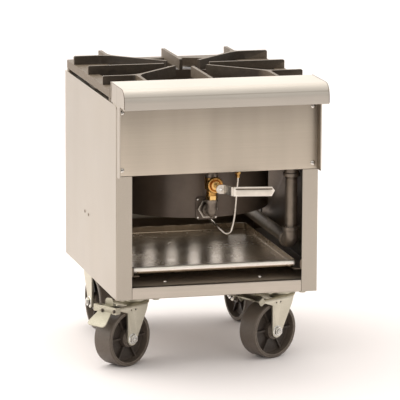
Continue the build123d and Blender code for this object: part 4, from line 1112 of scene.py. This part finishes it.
# painted shade: a dark wire along each end corner of the ledge
for side, x in (("left", low.x), ("right", high.x)):
    path = np.stack([np.full(len(ledgeShadeY), x), ledgeShadeY, ledgeShadeZ], axis=-1)
    tubeAlong(f"{side}_ledge_corner_shade", path, s["wire"], "cabinet", "stainless_sheet", darkIron)
low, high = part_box("bottom_front_rail")
y = low.y + s["railForward"]
size = (s["railWidth"], s["railWidth"])
for side, x in (("left", low.x), ("right", high.x)):
    start, end = (x, y, low.z + s["railFoot"]), (x, y, high.z)
    roundedBar(f"{side}_rail_joint", start, end, (0, -1, 0), size, "cabinet", "dark_sheet")
low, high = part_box("rear_panel")
y, z = low.y + s["stripBehind"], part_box("rear_rail")[1].z + s["stripRise"]
start = (low.x + s["stripLeft"], y, z)
end = (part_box("supply_pipe")[0].x - s["stripRight"], y, z)
size, name = (s["stripWidth"], s["stripThickness"]), "rear_joint_strip"
roundedBar(name, start, end, (0, -1, 0), size, "cabinet", "stainless_sheet", power=5.0)
print("joints drawn")


def turnedPiece(name, profile, origin, direction, body, slotName, finish=None, turns=48):
    # the profile's (radius, height) points carried round the direction
    profile = np.array(profile, float)
    around = np.linspace(0, 2 * np.pi, turns, endpoint=False)[None, :]
    x = profile[:, :1] * np.cos(around)
    y = profile[:, :1] * np.sin(around)
    z = profile[:, 1:] * np.ones_like(around)
    points = placed(np.stack([x, y, z], axis=-1), origin, direction)
    mesh = gridMesh(name, points, closedAcross=True)
    return addPiece(name, cleaned(mesh, smoothAngle=40), body, slotName, finish)


def domed(radius, height, collar, steps=10, sunk=0.0005):
    # profile of a low dome on a short wall: height falls with the square of the radius
    share = np.linspace(0, 1, steps)
    top = [(radius * r, collar + height * (1 - r**2)) for r in share]
    return top + [(radius, -sunk), (0, -sunk)]


# bright washer on the feed pipe, in front of the locknut, as (radius, height) points
washer = (
    (0.0088, 0.0),
    (0.0088, 0.0012),
    (0.0119, 0.0012),
    (0.0125, 0.0004),
    (0.0125, -0.0004),
    (0.0088, 0.0),
)
low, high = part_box("feed_locknut")
place = ((low.x + high.x) / 2, low.y, (low.z + high.z) / 2)
turnedPiece("feed_washer", washer, place, (0, -1, 0), "cabinet", "plated_steel", lipZinc)

# bright collars where the upright pipe meets its two elbows
collars = {
    "profile": (
        (0.0086, 0.0),
        (0.0132, 0.0),
        (0.0138, 0.0006),
        (0.0138, 0.0018),
        (0.0132, 0.0024),
        (0.0086, 0.0024),
        (0.0086, 0.0),
    ),
    "starts": {"low": riserLow - 0.0016, "high": riserHigh - 0.0006},
}
for label, z in collars["starts"].items():
    place, name = (riserX, riserY, z), f"riser_{label}_collar"
    turnedPiece(name, collars["profile"], place, (0, 0, 1), "cabinet", "black_pipe", lipZinc)

# bright ends and washers on the casters' axles, and rivets on a pedal
casters = {
    "nutOut": 0.039,  # face of the axle's nut from the wheel's middle
    "tip": (0.0058, 0.0012, 0.0026),  # radius, dome and wall
    "washerOut": 0.032,
    "washer": (
        (0.0065, 0.0),
        (0.0065, 0.0016),
        (0.0112, 0.0016),
        (0.0122, 0.0008),
        (0.0122, 0.0),
        (0.0065, 0.0),
    ),
    "pedalFace": 0.0945,  # from the swivel axis
    "rivetPlaces": ((-0.007, 0.1312), (0.030, 0.1332)),  # along the axle, and height
    "rivet": (0.0038, 0.0012, 0.0022),
}
s = casters
for wheelName in wheelNames:
    joint = wheelJoint[wheelName + "_roller"]
    centre, axle = Vector(joint["pos_m"]), Vector(joint["axis"]).normalized()
    swivelBody = joint["parent"]
    for side, out in (("near", axle), ("far", -axle)):
        place, name = centre + out * s["nutOut"], f"{wheelName}_{side}_axle_tip"
        turnedPiece(name, domed(*s["tip"]), place, out, swivelBody, "plated_steel")
        place, name = centre + out * s["washerOut"], f"{wheelName}_{side}_washer"
        turnedPiece(name, s["washer"], place, out, swivelBody, "plated_steel")

# two dark rivets across the front left pedal, which is the one that the camera sees face on
joint = wheelJoint["front_left_roller"]
axle = Vector(joint["axis"]).normalized()
trail = Vector((axle.y, -axle.x, 0))
swivelJoint = next(j for j in frame["joints"] if j["name"] == "front_left_swivel")
for number, (across, height) in enumerate(s["rivetPlaces"], start=1):
    place = Vector(swivelJoint["pos_m"]) + trail * s["pedalFace"] + axle * across
    place.z = height
    name, rivet = f"front_left_pedal_rivet_{number}", domed(*s["rivet"])
    turnedPiece(name, rivet, place, trail, "front_left_brake", "zinc_steel", finishes["cast_iron"])
print("caster fittings added")


stageSettings = {
    "floorHalf": 40.0,
    "floorColour": (0.87, 0.83, 0.82, 1.0),
    "floorRoughness": 0.9,
    "skyColour": (1.0, 0.97, 0.935, 1.0),
    "skyBase": 1.12,
    "skyTilt": (-0.35, 0.75, 0.3),  # how much brighter towards +X, +Y and +Z
}


def makeStage(s):
    # a flat pale floor; the sky's strength is its base plus the tilt dotted with the direction
    half = s["floorHalf"]
    corners = np.array([[[-half, -half, 0], [half, -half, 0]], [[-half, half, 0], [half, half, 0]]])
    mesh = gridMesh("studioFloor", corners)
    floor = bpy.data.objects.new("studioFloor", mesh)
    bpy.context.scene.collection.objects.link(floor)
    paper = bpy.data.materials.new("palePaper")
    paper.use_nodes = True
    shader = paper.node_tree.nodes["Principled BSDF"]
    shader.inputs["Base Color"].default_value = s["floorColour"]
    shader.inputs["Roughness"].default_value = s["floorRoughness"]
    mesh.materials.append(paper)
    world = bpy.context.scene.world or bpy.data.worlds.new("studio")
    bpy.context.scene.world = world
    world.use_nodes = True
    nodes, links = world.node_tree.nodes, world.node_tree.links
    direction = nodes.new("ShaderNodeTexCoord").outputs["Generated"]
    slope = nodes.new("ShaderNodeVectorMath")
    slope.operation = "DOT_PRODUCT"
    slope.inputs[1].default_value = s["skyTilt"]
    links.new(direction, slope.inputs[0])
    strength = nodes.new("ShaderNodeMath")
    strength.operation = "ADD"
    strength.inputs[1].default_value = s["skyBase"]
    links.new(slope.outputs["Value"], strength.inputs[0])
    back = nodes["Background"]
    back.inputs["Color"].default_value = s["skyColour"]
    links.new(strength.outputs["Value"], back.inputs["Strength"])


lampSettings = {
    # name: place, point looked at, width, height, watts, colour
    "topBox": ((-0.6, 0.6, 3.0), (0, 0, 0.4), 2.2, 1.8, 20.0, (1.0, 0.98, 0.95)),
    "leftBox": ((-3.4, -0.4, 1.8), (0, 0, 0.4), 2.0, 2.2, 18.0, (1.0, 0.97, 0.93)),
    "frontStrip": ((0.9, -3.6, 2.2), (0, 0, 0.3), 0.35, 1.8, 8.0, (1.0, 0.98, 0.96)),
}


def makeLamps(lamps):
    # flat soft boxes, each turned towards its point
    for name, (place, target, width, height, watts, colour) in lamps.items():
        light = bpy.data.lights.new(name, "AREA")
        light.shape = "RECTANGLE"
        light.size = width
        light.size_y = height
        light.energy = watts
        light.color = colour
        lamp = bpy.data.objects.new(name, light)
        bpy.context.scene.collection.objects.link(lamp)
        lamp.location = place
        lamp.rotation_euler = (Vector(target) - Vector(place)).to_track_quat("-Z", "Y").to_euler()


cameraSettings = {
    "place": (-1.8002, -7.1811, 1.7618),
    "azimuth": -14.28,
    "elevation": 11.0,
    "roll": 0.27,
    "lens": 298.6,
}


def makeCamera(s):
    # back points from the object to the camera; the picture's right and up are turned by the roll
    azimuth, elevation, roll = (math.radians(s[key]) for key in ("azimuth", "elevation", "roll"))
    right = Vector((math.cos(azimuth), math.sin(azimuth), 0))
    back = Vector(
        (
            math.sin(azimuth) * math.cos(elevation),
            -math.cos(azimuth) * math.cos(elevation),
            math.sin(elevation),
        )
    )
    up = back.cross(right)
    turnedRight = right * math.cos(roll) + up * math.sin(roll)
    turnedUp = up * math.cos(roll) - right * math.sin(roll)
    data = bpy.data.cameras.new("photoCamera")
    data.sensor_width = 36.0
    data.lens = s["lens"]
    data.clip_end = 200.0
    camera = bpy.data.objects.new("photoCamera", data)
    bpy.context.scene.collection.objects.link(camera)
    turn = Matrix((turnedRight, turnedUp, back)).transposed()
    camera.matrix_world = Matrix.Translation(s["place"]) @ turn.to_4x4()
    bpy.context.scene.camera = camera


makeStage(stageSettings)
makeLamps(lampSettings)
makeCamera(cameraSettings)
bpy.context.scene.view_settings.view_transform = "Standard"
print("stage, lamps and camera ready")
